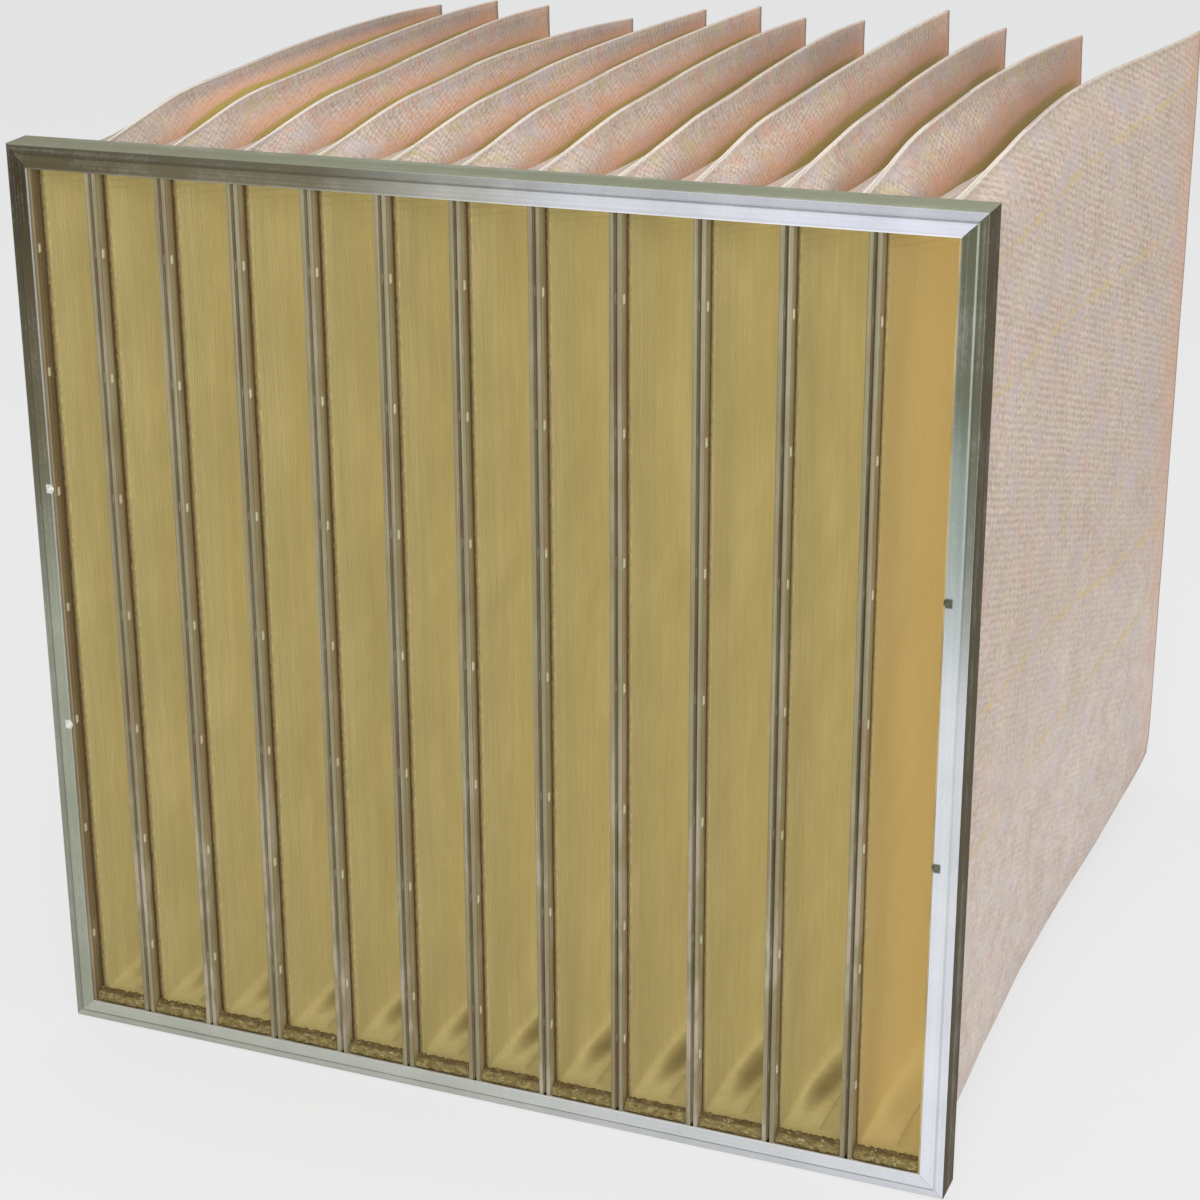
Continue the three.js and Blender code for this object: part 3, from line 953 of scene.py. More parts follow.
@dataclass(frozen=True)
class HemFinish:
    """Folded and cut media at the foot of a mouth: brown with pale tufts.

    Attributes:
        name: The material's name.
        tones: Places and colours from the hollows to the lumps.
        crack: The dark line between two folds.
        tuft: The pale tufts.
        outer: How far the hem's lower edge is below the middle, in millimetres.
    """

    name: str = "folded_hem"
    tones: tuple[tuple[float, tuple], ...] = (
        (0.34, srgb(70, 58, 32)),
        (0.48, srgb(112, 98, 60)),
        (0.6, srgb(140, 128, 84)),
        (0.78, srgb(190, 180, 138)),
    )
    crack: tuple = srgb(72, 50, 28)
    tuft: tuple = srgb(222, 212, 176)
    outer: float = HEM_OUTER

    def build(self) -> bpy.types.Material:
        """Makes the material."""
        graph = Graph(self.name)
        place = graph.place()
        _, _, z = graph.parts(place)
        lumps = graph.grain(place, (210.0, 210.0, 420.0), 4.0, 0.7)
        fine = graph.noise(place, 1100.0, 3.0, 0.7)
        tufts = graph.grain(place, (330.0, 330.0, 560.0), 3.0, 0.8)
        colour = graph.ramp(lumps * 0.7 + fine * 0.3, self.tones)
        rise = z / MM - (MIDDLE_Z - self.outer)
        dark = rise.step(6.0, 7.4) * rise.step(8.4, 9.6, 1.0, 0.0)
        colour = colour.over(self.crack, (dark + rise.step(0.8, 2.0, 1.0, 0.0)) * 0.6)
        colour = colour.over(self.tuft, tufts.step(0.58, 0.7) * 0.42)
        height = lumps + fine * 0.4
        # The hem glows faintly with its own colour: a painted glow.
        return graph.finish(colour, 0.95, 0.0, height, 0.8 * MM, DEAD_DULL, 0.1)


def curve_through(knots: list[float], values: list[float], where: np.ndarray) -> np.ndarray:
    """Draws a smooth curve through given points that doesn't overshoot them.

    Args:
        knots: Rising places of the points.
        values: The value at each of them.
        where: The places that are asked for.

    Returns:
        The curve's values there.
    """
    x, v = np.asarray(knots, float), np.asarray(values, float)
    gap = np.diff(x)
    rate = np.diff(v) / gap
    slope = np.zeros_like(v)
    for i in range(1, len(v) - 1):
        if rate[i - 1] * rate[i] > 0:
            a, b = 2 * gap[i] + gap[i - 1], gap[i] + 2 * gap[i - 1]
            slope[i] = (a + b) / (a / rate[i - 1] + b / rate[i])
    slope[0], slope[-1] = rate[0], rate[-1]
    i = np.clip(np.searchsorted(x, where) - 1, 0, len(x) - 2)
    t = np.clip((where - x[i]) / gap[i], 0, 1)
    flat = 2 * t**3 - 3 * t**2 + 1, t**3 - 2 * t**2 + t, -2 * t**3 + 3 * t**2, t**3 - t**2
    return (
        flat[0] * v[i] + flat[1] * gap[i] * slope[i]
        + flat[2] * v[i + 1] + flat[3] * gap[i] * slope[i + 1]
    )


@dataclass(frozen=True)
class ShoulderPoint:
    """One point of a pocket's section between its seam and its flat side.

    Attributes:
        share: The share of the half width there.
        drop: The distance from the seam's edge.
        lean: The share of the seam's lean.
    """

    share: float
    drop: float
    lean: float


@dataclass(frozen=True)
class Wave:
    """One size of wave in the cloth.

    Attributes:
        along: Its length along the pocket.
        down: Its length down the pocket.
        height: How far it stands out.
        offset: Which part of the noise it is taken from.
    """

    along: float
    down: float
    height: float
    offset: float


@dataclass
class Pocket:
    """One pocket: a folded sheet with its fold at the tip, sewn along its top and bottom.

    Depths are distances behind the inlet face, and heights are above the header's middle.

    Attributes:
        number: Its place in the row, from 0 at the left.
        left: The line of the divider at its left, across the header.
        right: The line of the divider at its right.
        tip_splay: How far the tip stands to the right of the mouth.
        top_lean: How far the top seam leans to the right.
        tip_top: The height of the tip's top.
        neighbour: The next pocket to the right.
        tip_bottom: How far the tip's bottom is below the middle.
        front: The depth of the clamped edge.
        depth: The depth of the tip.
        mouth_end: The depth where the square mouth ends.
        belly_depth: The depth where the pocket is fullest.
        shoulder_end: The depth where its section is fully rounded.
        rise_end: The depth where the seams stop rising.
        taper_start: The depth where the seams start to fall towards the tip.
        taper_power: How suddenly they fall.
        splay_start: The depth where the pocket starts to bend to its side.
        mouth_top: The height of the media in the mouth.
        top_rise: How far the top seam climbs behind the header.
        bottom_sag: How far the bottom seam sags there.
        clamp_room: The room that a channel takes from the mouth's half width.
        belly_bulge: How much wider than the mouth the pocket is at its fullest, by half.
        shoulder_bulge: The same at the shoulder's end.
        seam_half: Half the width of a seam.
        seam_height: Its height.
        corner_share: How square the mouth's last corner point is.
        stitch_pull: How far a stitch row pulls the cloth in.
        media: The thickness of the media.
        light: Where the main light comes from, in the scene's axes.
        unshaded: The lit distance of a wall that nothing shades.
        least_lit: The shortest lit distance.
        deepest_shade: The largest value that the shade's map holds.
        stitch_rows: Heights of the stitch rows.
        swells: Heights between two rows, where the cloth stands out.
        taper: Depths and half widths behind the shoulder.
        top_shoulder: The section under the top seam.
        bottom_shoulder: The section over the bottom seam.
        top_knots: Places of the top shoulder's points down the sheet.
        bottom_knots: The same for the bottom shoulder, up from the bottom seam.
        middle_shift: How far down the sheet the rows lie from their own height.
        sheet_down: The length of a wall down the sheet, from seam to seam.
        map_foot: Where the sheet's map starts at the bottom seam.
        rows_along: Rows of vertices along the pocket.
        rows_down: Rows of vertices down it.
        clamped_give: How far the cloth may stand out beside the clamps.
        free_give: How much further it may stand out towards the tip.
        weld: The distance within which the two walls share a vertex.
        broad: The broad waves of the cloth.
        folds: The folds behind the mouth.
        fine: The small waves.
    """

    number: int
    left: float
    right: float
    tip_splay: float
    top_lean: float
    tip_top: float
    neighbour: "Pocket | None" = None
    tip_bottom: float = 276.0
    front: float = 2.1
    depth: float = 635.0
    mouth_end: float = 26.0
    belly_depth: float = 80.0
    shoulder_end: float = 160.0
    rise_end: float = 200.0
    taper_start: float = 300.0
    taper_power: float = 1.4
    splay_start: float = 250.0
    mouth_top: float = 283.9
    top_rise: float = 12.0
    bottom_sag: float = 9.0
    clamp_room: float = 1.8
    belly_bulge: float = 1.35
    shoulder_bulge: float = 0.55
    seam_half: float = 1.2
    seam_height: float = 5.0
    corner_share: float = 0.4
    stitch_pull: float = 1.4
    media: float = 1.4
    light: tuple[float, float, float] = (640.0, -1440.0, 950.0)
    unshaded: float = 1e5
    least_lit: float = 6.0
    deepest_shade: float = 4.0
    stitch_rows: tuple[float, ...] = (152.0, 54.0, -44.0, -142.0)
    swells: tuple[float, ...] = (103.0, 5.0, -93.0)
    taper: tuple[tuple[float, float], ...] = (
        (300.0, 18.0), (470.0, 10.5), (600.0, 4.2), (635.0, 2.2),
    )
    top_shoulder: tuple[ShoulderPoint, ...] = (
        ShoulderPoint(0.42, 14, 0.6), ShoulderPoint(0.74, 28, 0.3),
        ShoulderPoint(0.95, 46, 0.1), ShoulderPoint(1, 75, 0),
    )
    bottom_shoulder: tuple[ShoulderPoint, ...] = (
        ShoulderPoint(0.76, 7.5, 0), ShoulderPoint(0.92, 15, 0),
        ShoulderPoint(0.98, 30, 0), ShoulderPoint(1, 58, 0),
    )
    top_knots: tuple[float, ...] = (0.0, 8.0, 22.0, 40.0, 60.0, 88.0)
    bottom_knots: tuple[float, ...] = (66.0, 44.0, 30.0, 18.0, 8.0, 0.0)
    middle_shift: float = 4.0
    sheet_down: float = 600.0
    map_foot: float = 40.0
    rows_along: int = 84
    rows_down: int = 108
    clamped_give: float = 0.15
    free_give: float = 3.0
    weld: float = 0.02
    broad: Wave = Wave(95, 70, 2.4, 0)
    folds: Wave = Wave(60, 17, 1.5, 3)
    fine: Wave = Wave(14, 12, 0.35, 9)

    @property
    def label(self) -> str:
        """The pocket's number as the CAD nodes write it."""
        return f"{self.number + 1:02d}"

    @property
    def centre(self) -> float:
        """The middle of the mouth across the header."""
        return (self.left + self.right) / 2

    @property
    def mouth_half(self) -> float:
        """Half the width of the media where it is clamped."""
        return (self.right - self.left) / 2 - self.clamp_room

    @property
    def belly(self) -> float:
        """Half the width of the pocket where it is fullest."""
        return self.mouth_half + self.belly_bulge

    @property
    def widths(self) -> tuple[tuple[float, float], ...]:
        """Depths and the half width at each one."""
        mouth = self.mouth_half
        return (
            (2.0, mouth), (self.mouth_end, mouth), (self.belly_depth, self.belly),
            (self.shoulder_end, mouth + self.shoulder_bulge), *self.taper,
        )

    def halves(self, depths: np.ndarray) -> np.ndarray:
        """Returns the half width at each of the depths."""
        return curve_through(*map(list, zip(*self.widths)), depths)

    def stations(self) -> np.ndarray:
        """Depths of the rows of the sheet, closer together near the mouth."""
        share = np.linspace(0, 1, self.rows_along)
        even = 0.15
        eased = share**1.35 * (1 - even) + share * even
        return self.front + (self.depth - self.front) * eased

    def splay(self, y: float) -> float:
        """Returns how far the pocket has bent to its side at depth y."""
        return self.tip_splay * ease(self.splay_start, self.depth, y)

    def edge(self, y: float, rise: float, tip: float) -> float:
        """Works out how far a seam's edge is from the middle.

        Args:
            y: The depth.
            rise: How far the edge moves outwards behind the header.
            tip: How far it is from the middle at the tip.

        Returns:
            The distance from the middle's height.
        """
        climbed = self.mouth_top + rise * ease(self.mouth_end, self.rise_end, y)
        tapered = min(1.0, max(0.0, (y - self.taper_start) / (self.depth - self.taper_start)))
        return climbed - (climbed - tip) * tapered**self.taper_power

    def shoulder(
        self, points: tuple[ShoulderPoint, ...], half: float, open_: float
    ) -> list[tuple[float, float, float]]:
        """Works out one shoulder of a section.

        Args:
            points: The shoulder's points, from the seam.
            half: The half width of the section.
            open_: 0 in the square mouth, 1 behind it.

        Returns:
            Offset, drop and lean share of each control point, from the seam's edge.
        """
        made = [
            (mix(0.0, self.seam_half, open_), 0.0, 1.0),
            (mix(half * 0.5, self.seam_half, open_), self.seam_height * open_, 1.0),
        ]
        for i, point in enumerate(points):
            share = mix(1.0, point.share, open_) if i else mix(0.97, point.share, open_)
            corner = (0.6, 5.0, 12.0, point.drop * self.corner_share)[i]
            offset = max(self.seam_half + 0.1 * (i + 1), share * half)
            made.append((offset, mix(corner, point.drop, open_), point.lean))
        return made

    def section(self, y: float, half: float) -> tuple[np.ndarray, np.ndarray, np.ndarray]:
        """Draws half a section from its top seam to its bottom seam.

        Args:
            y: The depth.
            half: The half width there.

        Returns:
            Offsets from the pocket's middle plane, heights, and sideways leans.
        """
        open_ = min(1.0, max(0.0, (y - self.mouth_end) / (self.shoulder_end - self.mouth_end)))
        top = self.edge(y, self.top_rise, self.tip_top)
        bottom = self.edge(y, self.bottom_sag, self.tip_bottom)
        pull = self.stitch_pull * open_ * half / self.belly
        lean = self.top_lean * open_ * half / self.belly
        over = self.shoulder(self.top_shoulder, half, open_)
        under = self.shoulder(self.bottom_shoulder, half, open_)
        upper = [(x, top - d, share * lean) for x, d, share in over]
        sides = [(row, half - pull) for row in self.stitch_rows]
        sides += [(swell, half) for swell in self.swells]
        middle = [(x, z, 0.0) for z, x in sorted(sides, reverse=True)]
        lower = [(x, d - bottom, 0.0) for x, d, _ in under]
        points = np.array(upper + middle + lower[::-1])
        knots = self.knots()
        down = self.spacing()
        return tuple(curve_through(knots, points[:, i], down) for i in range(3))

    def knots(self) -> np.ndarray:
        """Places of a section's control points down the sheet, the same at every depth."""
        rows = sorted(self.stitch_rows + self.swells, reverse=True)
        middle = [self.sheet_down / 2 - z + self.middle_shift for z in rows]
        lower = [self.sheet_down - d for d in self.bottom_knots]
        return np.array([*self.top_knots, *middle, *lower])

    def spacing(self) -> np.ndarray:
        """Places of the rows of faces down the sheet, closer together at the shoulders."""
        share = np.linspace(0, 1, self.rows_down)
        crowding = 0.055
        return self.sheet_down * (share - crowding * np.sin(2 * np.pi * (share - 0.5)))

    def seam_line(self, y: float) -> tuple[float, float]:
        """Works out where the top seam stands.

        Args:
            y: The depth.

        Returns:
            Its place across the header, and its height.
        """
        half = float(self.halves(np.array([y]))[0])
        lean = self.top_lean * ease(self.mouth_end, self.shoulder_end, y) * half / self.belly
        return self.centre + self.splay(y) + lean, self.edge(y, self.top_rise, self.tip_top)

    def wall_line(self, y: float, drop: float) -> float:
        """Returns where the right wall stands across the header.

        Args:
            y: The depth.
            drop: The distance below the top seam.

        Returns:
            The wall's place there.
        """
        half = float(self.halves(np.array([y]))[0])
        drops = [0.0, *(point.drop for point in self.top_shoulder)]
        shares = [0.1, *(point.share for point in self.top_shoulder)]
        return self.centre + self.splay(y) + half * float(np.interp(drop, drops, shares))

    def shade_line(self) -> np.ndarray:
        """Works out how far down its neighbour leaves this pocket's right wall in the light.

        Returns:
            The lit distance below the top seam at each station, in millimetres.
        """
        if self.neighbour is None:
            return np.full(self.rows_along, self.unshaded)
        lamp = Vector(self.light)
        samples, rounds, first_drop = 60, 6, 40.0
        hits = []
        for y in np.linspace(self.mouth_end, self.depth, samples):
            x, z = self.neighbour.seam_line(y)
            ridge = Vector((x, y + INLET_Y, z + MIDDLE_Z))
            depth, drop = y, first_drop
            for _ in range(rounds):
                share = (lamp.x - self.wall_line(depth, drop)) / (lamp.x - ridge.x)
                struck = lamp + (ridge - lamp) * share
                depth = min(self.depth, struck.y - INLET_Y)
                drop = self.seam_line(depth)[1] + MIDDLE_Z - struck.z
            hits.append((depth, drop))
        depths, drops = zip(*sorted(hits))
        return np.maximum(self.least_lit, np.interp(self.stations(), depths, drops))

    def ripple(self, x: float, y: float, z: float, side: float, room: float) -> float:
        """Returns how far a point of the cloth gives inwards or outwards.

        Args:
            x: The offset from the middle plane.
            y: The depth.
            z: The height.
            side: 1 on the right wall and -1 on the left one.
            room: How far it may stand out.

        Returns:
            The move, outwards if above 0.
        """
        seed = Vector((self.number * 7.3 + side * 2.1, 0, 0))
        broad, folds, fine = (
            noise.noise(Vector((wave.offset, y / wave.along, z / wave.down)) + seed)
            for wave in (self.broad, self.folds, self.fine)
        )
        folds *= ease(330, 40, y)
        behind = ease(self.mouth_end - 10, 70, y)
        near_tip = 1 - 0.6 * ease(520, 630, y)
        above_foot = mix(0.3, 1.0, ease(-285, -225, z))
        move = (
            broad * self.broad.height + folds * self.folds.height + fine * self.fine.height
        )
        beside_seam = ease(1.5, 7.0, abs(x))
        return min(move * behind * near_tip * above_foot * beside_seam, room)

    def wall(self, side: float) -> tuple[bmesh.types.BMesh, np.ndarray]:
        """Makes one wall of the sheet from a grid.

        Args:
            side: 1 for the right wall and -1 for the left one.

        Returns:
            The wall, and for each vertex the distances along and down it and how deep it
            lies in the gap beside it.
        """
        made = bmesh.new()
        bmesh.ops.create_grid(
            made, x_segments=self.rows_down - 1, y_segments=self.rows_along - 1, size=0.5
        )
        made.verts.ensure_lookup_table()
        made.verts.sort(key=lambda v: 1000 * round(v.co.y, 6) + v.co.x)
        made.verts.ensure_lookup_table()
        stations = self.stations()
        halves = self.halves(stations)
        places = np.zeros((len(made.verts), 3))
        down = self.spacing()
        lit = self.shade_line() if side > 0 else np.full(self.rows_along, self.unshaded)
        for i, (y, half) in enumerate(zip(stations, halves)):
            offset, height, lean = self.section(y, half)
            seam = self.edge(y, self.top_rise, self.tip_top)
            room = self.clamped_give + self.free_give * ease(200, 420, y)
            for j in range(self.rows_down):
                index = i * self.rows_down + j
                give = self.ripple(offset[j], y, height[j], side, room)
                x = self.centre + self.splay(y) + lean[j] + side * (offset[j] + give)
                made.verts[index].co = (
                    x * MM, (y + INLET_Y) * MM, (height[j] + MIDDLE_Z) * MM
                )
                up = self.sheet_down - down[j] + self.map_foot
                places[index] = (y, min(down[j], up), (seam - height[j]) / lit[i])
        return made, places

    def build(self, scrim: bpy.types.Material, fibre: bpy.types.Material) -> bpy.types.Object:
        """Makes the pocket's sheet.

        Args:
            scrim: The finish of its outside.
            fibre: The finish of its inside.

        Returns:
            The sheet.
        """
        name = f"pocket_{self.label}_sheet"
        mesh = bpy.data.meshes.new(name)
        whole = bmesh.new()
        sheet_map = whole.loops.layers.uv.new("sheet")
        gap_map = whole.loops.layers.uv.new("gap")
        for side in (1.0, -1.0):
            wall, places = self.wall(side)
            wall.verts.ensure_lookup_table()
            copies = [whole.verts.new(v.co) for v in wall.verts]
            for face in wall.faces:
                corners = [v.index for v in face.verts]
                made = whole.faces.new([copies[i] for i in corners])
                for loop, i in zip(made.loops, corners):
                    along = places[i][0] if side > 0 else 2 * self.depth - places[i][0]
                    loop[sheet_map].uv = (along * MM, places[i][1] * MM)
                    loop[gap_map].uv = (min(places[i][2], self.deepest_shade), 0.0)
            wall.free()
        whole.verts.ensure_lookup_table()
        bmesh.ops.remove_doubles(whole, verts=whole.verts, dist=self.weld * MM)
        bmesh.ops.recalc_face_normals(whole, faces=whole.faces)
        for face in whole.faces:
            face.smooth = True
        whole.to_mesh(mesh)
        whole.free()
        sheet = bpy.data.objects.new(name, mesh)
        bpy.context.collection.objects.link(sheet)
        mesh.materials.append(scrim)
        mesh.materials.append(fibre)
        shell = sheet.modifiers.new("media", "SOLIDIFY")
        shell.thickness = self.media * MM
        shell.offset = -1.0
        shell.material_offset = 1
        shell.material_offset_rim = 0
        return sheet


@dataclass
class Hem:
    """The folded end of the media at the foot of a mouth.

    Attributes:
        pocket: The pocket that it belongs to.
        end_room: The room left at each end, beside the channel.
        front: How far its front stands behind the inlet face.
        height: The height of the fold.
        depth: Its depth.
        outer: How far its lower edge is below the middle.
        turns: How far the cloth is rolled, in half turns.
        shrink: How much smaller the roll is at its inner end.
        thickness: The thickness of the cloth.
        patch: Which part of the noise it is taken from.
    """

    pocket: Pocket
    end_room: float = 2.65
    front: float = 2.6
    height: float = 9.4
    depth: float = 6.0
    outer: float = HEM_OUTER
    turns: float = 2.4
    shrink: float = 0.28
    thickness: float = 0.9
    patch: float = 11.0

    def build(self, finish: bpy.types.Material) -> bpy.types.Object:
        """Makes the hem as a lumpy strip of folded cloth.

        Args:
            finish: The hem's finish.

        Returns:
            The hem.
        """
        name = f"hem_{self.pocket.label}_foot"
        made = bmesh.new()
        bmesh.ops.create_grid(made, x_segments=64, y_segments=30, size=0.5)
        for vert in made.verts:
            across, around = vert.co.x * 2, vert.co.y + 0.5
            vert.co = self.place(across, around)
        bmesh.ops.recalc_face_normals(made, faces=made.faces)
        for face in made.faces:
            face.smooth = True
        mesh = bpy.data.meshes.new(name)
        made.to_mesh(mesh)
        made.free()
        mesh.materials.append(finish)
        hem = bpy.data.objects.new(name, mesh)
        bpy.context.collection.objects.link(hem)
        shell = hem.modifiers.new("media", "SOLIDIFY")
        shell.thickness = self.thickness * MM
        shell.offset = 0.0
        return hem

    def place(self, across: float, around: float) -> Vector:
        """Returns a point of the fold.

        Args:
            across: -1 at the left end and 1 at the right end.
            around: 0 at the cut edge in front, 1 at the edge that runs on into the pocket.

        Returns:
            The point, in metres.
        """
        turn = around * self.turns * math.pi
        left_over = 1.0 - self.shrink * around
        y = self.front + self.depth / 2 - math.cos(turn) * self.depth / 2 * left_over
        up = self.height * (0.5 + 0.42 * math.sin(turn - 0.9) * left_over)
        seed = Vector((self.pocket.number * 3.7, self.patch, around * 3))
        wander = noise.noise(seed + Vector((across * 5.0, 0, 0)))
        fuzz = noise.noise(seed + Vector((across * 24.0, around * 9, 0)))
        y += wander * 0.5 + fuzz * 0.35
        up += wander * 1.3 + fuzz * 0.9
        up = min(max(up, 0.6), self.height + 1.2)
        y = min(max(y, self.front + 0.4), self.front + self.depth + 0.8)
        x = self.pocket.centre + across * (self.pocket.mouth_half - self.end_room)
        return Vector((x * MM, (y + INLET_Y) * MM, (MIDDLE_Z - self.outer + up) * MM))


@dataclass(frozen=True)
class Header:
    """The four mitred rails of the header.

    Attributes:
        olive: The tone of the rails far from the lamps.
        dark: The painted shade at the top rail's left end.
        bright: The tone of a rail beside the lamps.
    """

    olive: tuple = srgb(146, 150, 132)
    dark: tuple = srgb(84, 76, 54)
    bright: tuple = srgb(184, 186, 192)

    def finishes(self) -> tuple[GalvanisedSheet, ...]:
        """Describes the finish of each rail, with its colours from the left or lower end, which
        paint the light and shade along the rail.
        """
        return (
            GalvanisedSheet(
                Side.TOP,
                front=(
                    (0.0, self.dark), (0.33, srgb(104, 98, 78)), (0.5, srgb(158, 158, 150)),
                    (0.62, self.bright), (1.0, srgb(190, 192, 202)),
                ),
                edge=(
                    (0.0, srgb(122, 122, 100)), (0.6, srgb(124, 128, 106)),
                    (1.0, srgb(134, 136, 114)),
                ),
            ),
            GalvanisedSheet(
                Side.LEFT,
                front=(
                    (0.0, self.olive), (0.45, self.olive), (0.72, srgb(94, 88, 66)),
                    (1.0, srgb(56, 48, 28)),
                ),
                edge=((0.0, srgb(128, 128, 110)), (1.0, srgb(110, 108, 88))),
            ),
            GalvanisedSheet(
                Side.BOTTOM,
                front=(
                    (0.0, srgb(166, 168, 154)), (0.45, srgb(174, 177, 168)),
                    (0.75, srgb(190, 192, 194)), (1.0, srgb(202, 204, 210)),
                ),
                edge=((0.0, srgb(120, 120, 106)), (1.0, srgb(130, 130, 118))),
                bead_share=0.1,
                bead_low=0.1,
            ),
            GalvanisedSheet(
                Side.RIGHT,
                front=(
                    (0.0, srgb(208, 210, 218)), (0.5, srgb(190, 194, 198)),
                    (0.72, srgb(132, 142, 134)), (0.84, srgb(92, 96, 80)),
                    (1.0, srgb(84, 84, 66)),
                ),
                edge=((0.0, srgb(74, 64, 44)), (1.0, srgb(66, 58, 38))),
                clinch=srgb(70, 72, 44),
                bead_shade=srgb(86, 84, 66),
                bead_share=0.8,
                bead_low=0.08,
                line=srgb(170, 178, 166),
                rim_highlight=0.1,
            ),
        )

    def dress(self) -> None:
        """Gives each rail its finish."""
        for finish in self.finishes():
            node = bpy.data.objects[f"header_rail_{finish.side.value}"]
            dress_node(node, finish.build())
            log.info("dressed %s", node.name)


def dress_node(node: bpy.types.Object, material: bpy.types.Material) -> None:
    """Gives a CAD node one finish.

    Args:
        node: The node's object.
        material: Its new finish.
    """
    for place in node.material_slots:
        place.link = "OBJECT"
        place.material = material


@dataclass(frozen=True)
class Clamps:
    """The steel channels that clamp both long edges of every mouth.

    Attributes:
        count: How many mouths there are.
        common: The finish of most channels.
        covered: The finish of the last channel, which fibres cover.
        brown: A darker copy of the finish for the first channel: painted shade, as it stands
            in the left rail's shade.
    """

    count: int = POCKETS
    common: ChannelSteel = ChannelSteel()
    covered: ChannelSteel = ChannelSteel(
        "channel_under_fibres", lip=srgb(150, 130, 84), leg=srgb(152, 128, 78),
        deep=srgb(140, 116, 68), foot=srgb(204, 188, 138), wear=0.6,
    )
    # A darker copy of the channel finish: painted shade of the left rail on the first channel.
    brown: ChannelSteel = ChannelSteel(
        "channel_at_left_rail", lip=srgb(112, 98, 70), leg=srgb(104, 88, 58),
        deep=srgb(86, 72, 46), foot=srgb(150, 136, 108), wear=0.2,
    )

    def dress(self) -> None:
        """Gives every channel its finish."""
        steel = self.common.build()
        ends = {
            f"channel_{self.count:02d}_right": self.covered.build(),
            "channel_01_left": self.brown.build(),
        }
        for number in range(self.count):
            for side in ("left", "right"):
                node = bpy.data.objects[f"channel_{number + 1:02d}_{side}"]
                dress_node(node, ends.get(node.name, steel))
        log.info("dressed %d channels", 2 * self.count)


@dataclass(frozen=True)
class PocketRow:
    """The twelve pockets, as they stand in the photographed filter.

    Attributes:
        divider_shift: How far each divider stands to the left of an even row.
        tip_splay: How far each tip stands to the right of its mouth.
        top_lean: How far each top seam leans to the right.
        tip_top: The height of each tip's top above the middle.
        flat_length: The length of a pocket's sheet laid flat, in metres; not used.
        flat_height: Its height laid flat, in metres; not used.
        scrim: The outside of most pockets.
        last_scrim: The outside of the last one, whose whole right side is seen.
        fibre: The inside of most pockets.
        last_fibre: The inside of the last one, which lies in warmer light.
    """

    divider_shift: tuple[float, ...] = (
        2.9, 3.4, 2.8, 2.4, 3.0, 4.3, 4.0, 3.4, 2.3, 1.3, 0.2,
    )
    tip_splay: tuple[float, ...] = (
        -31.6, -29.9, -34.9, -14.4, -3.3, -6.4, -18.9, -22.3, -7.2, -14.2, -7.3, 25.9,
    )
    top_lean: tuple[float, ...] = (
        -8.6, -6.9, -0.9, 1.6, 3.7, 0.7, 4.2, 6.7, -1.2, 5.8, -2.3, 7.1,
    )
    tip_top: tuple[float, ...] = (272, 277, 275, 268, 277, 281, 274, 274, 284, 273, 270, 277)
    flat_length: float = 1.25
    flat_height: float = 0.6
    scrim: ScrimFinish = ScrimFinish("scrim_outside")
    last_scrim: ScrimFinish = ScrimFinish(
        "scrim_last", cell_length=10.0, cell_height=4.7, row_slope=-0.33, row_share=0.72,
        wander=5.0, by_height=True, contrast=0.34, mottle=0.38, crowded=0.0,
        rows=((250.0, 250.0), (172.0, 150.0), (-14.0, -78.0), (-108.0, -132.0)),
    )
    fibre: FibreFinish = FibreFinish("fibre_inside")
    last_fibre: FibreFinish = FibreFinish(
        "fibre_last", body=srgb(184, 165, 112), pale=srgb(194, 177, 124),
        dull=srgb(174, 156, 105), calm=0.6, crease_shade_strength=0.15,
    )

    def lines(self) -> list[float]:
        """Returns where the row's ends and dividers stand across the header."""
        shifts = (0.0, *self.divider_shift, 0.0)
        return [(i - POCKETS / 2) * PITCH - shift for i, shift in enumerate(shifts)]

    def pockets(self) -> list[Pocket]:
        """Describes the pockets and tells each one which stands to its right."""
        lines = self.lines()
        shapes = zip(self.tip_splay, self.top_lean, self.tip_top)
        row = [
            Pocket(number, lines[number], lines[number + 1], splay, lean, top)
            for number, (splay, lean, top) in enumerate(shapes)
        ]
        for pocket, neighbour in zip(row, row[1:]):
            pocket.neighbour = neighbour
        return row

    def build(self) -> None:
        """Makes the pockets and their hems and attaches them in place of the CAD pockets."""
        outside, inside = self.scrim.build(), self.fibre.build()
        last_outside, last_inside = self.last_scrim.build(), self.last_fibre.build()
        hem_finish = HemFinish().build()
        *others, last = self.pockets()
        for pocket in others:
            self.add(pocket, pocket.build(outside, inside), Hem(pocket).build(hem_finish))
        self.add(last, last.build(last_outside, last_inside), Hem(last).build(hem_finish))

    def add(self, pocket: Pocket, sheet: bpy.types.Object, hem: bpy.types.Object) -> None:
        """Attaches a pocket's sheet and hem to the root body and hides the CAD pocket.

        Args:
            pocket: The pocket.
            sheet: Its sheet.
            hem: Its hem.
        """
        for piece in (sheet, hem):
            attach(piece, "root")
            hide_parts(f"pocket_{pocket.label}")
        [f"channel_{pocket.label}_{side}" for side in ("left", "right")]
        log.info("built %s and %s", sheet.name, hem.name)


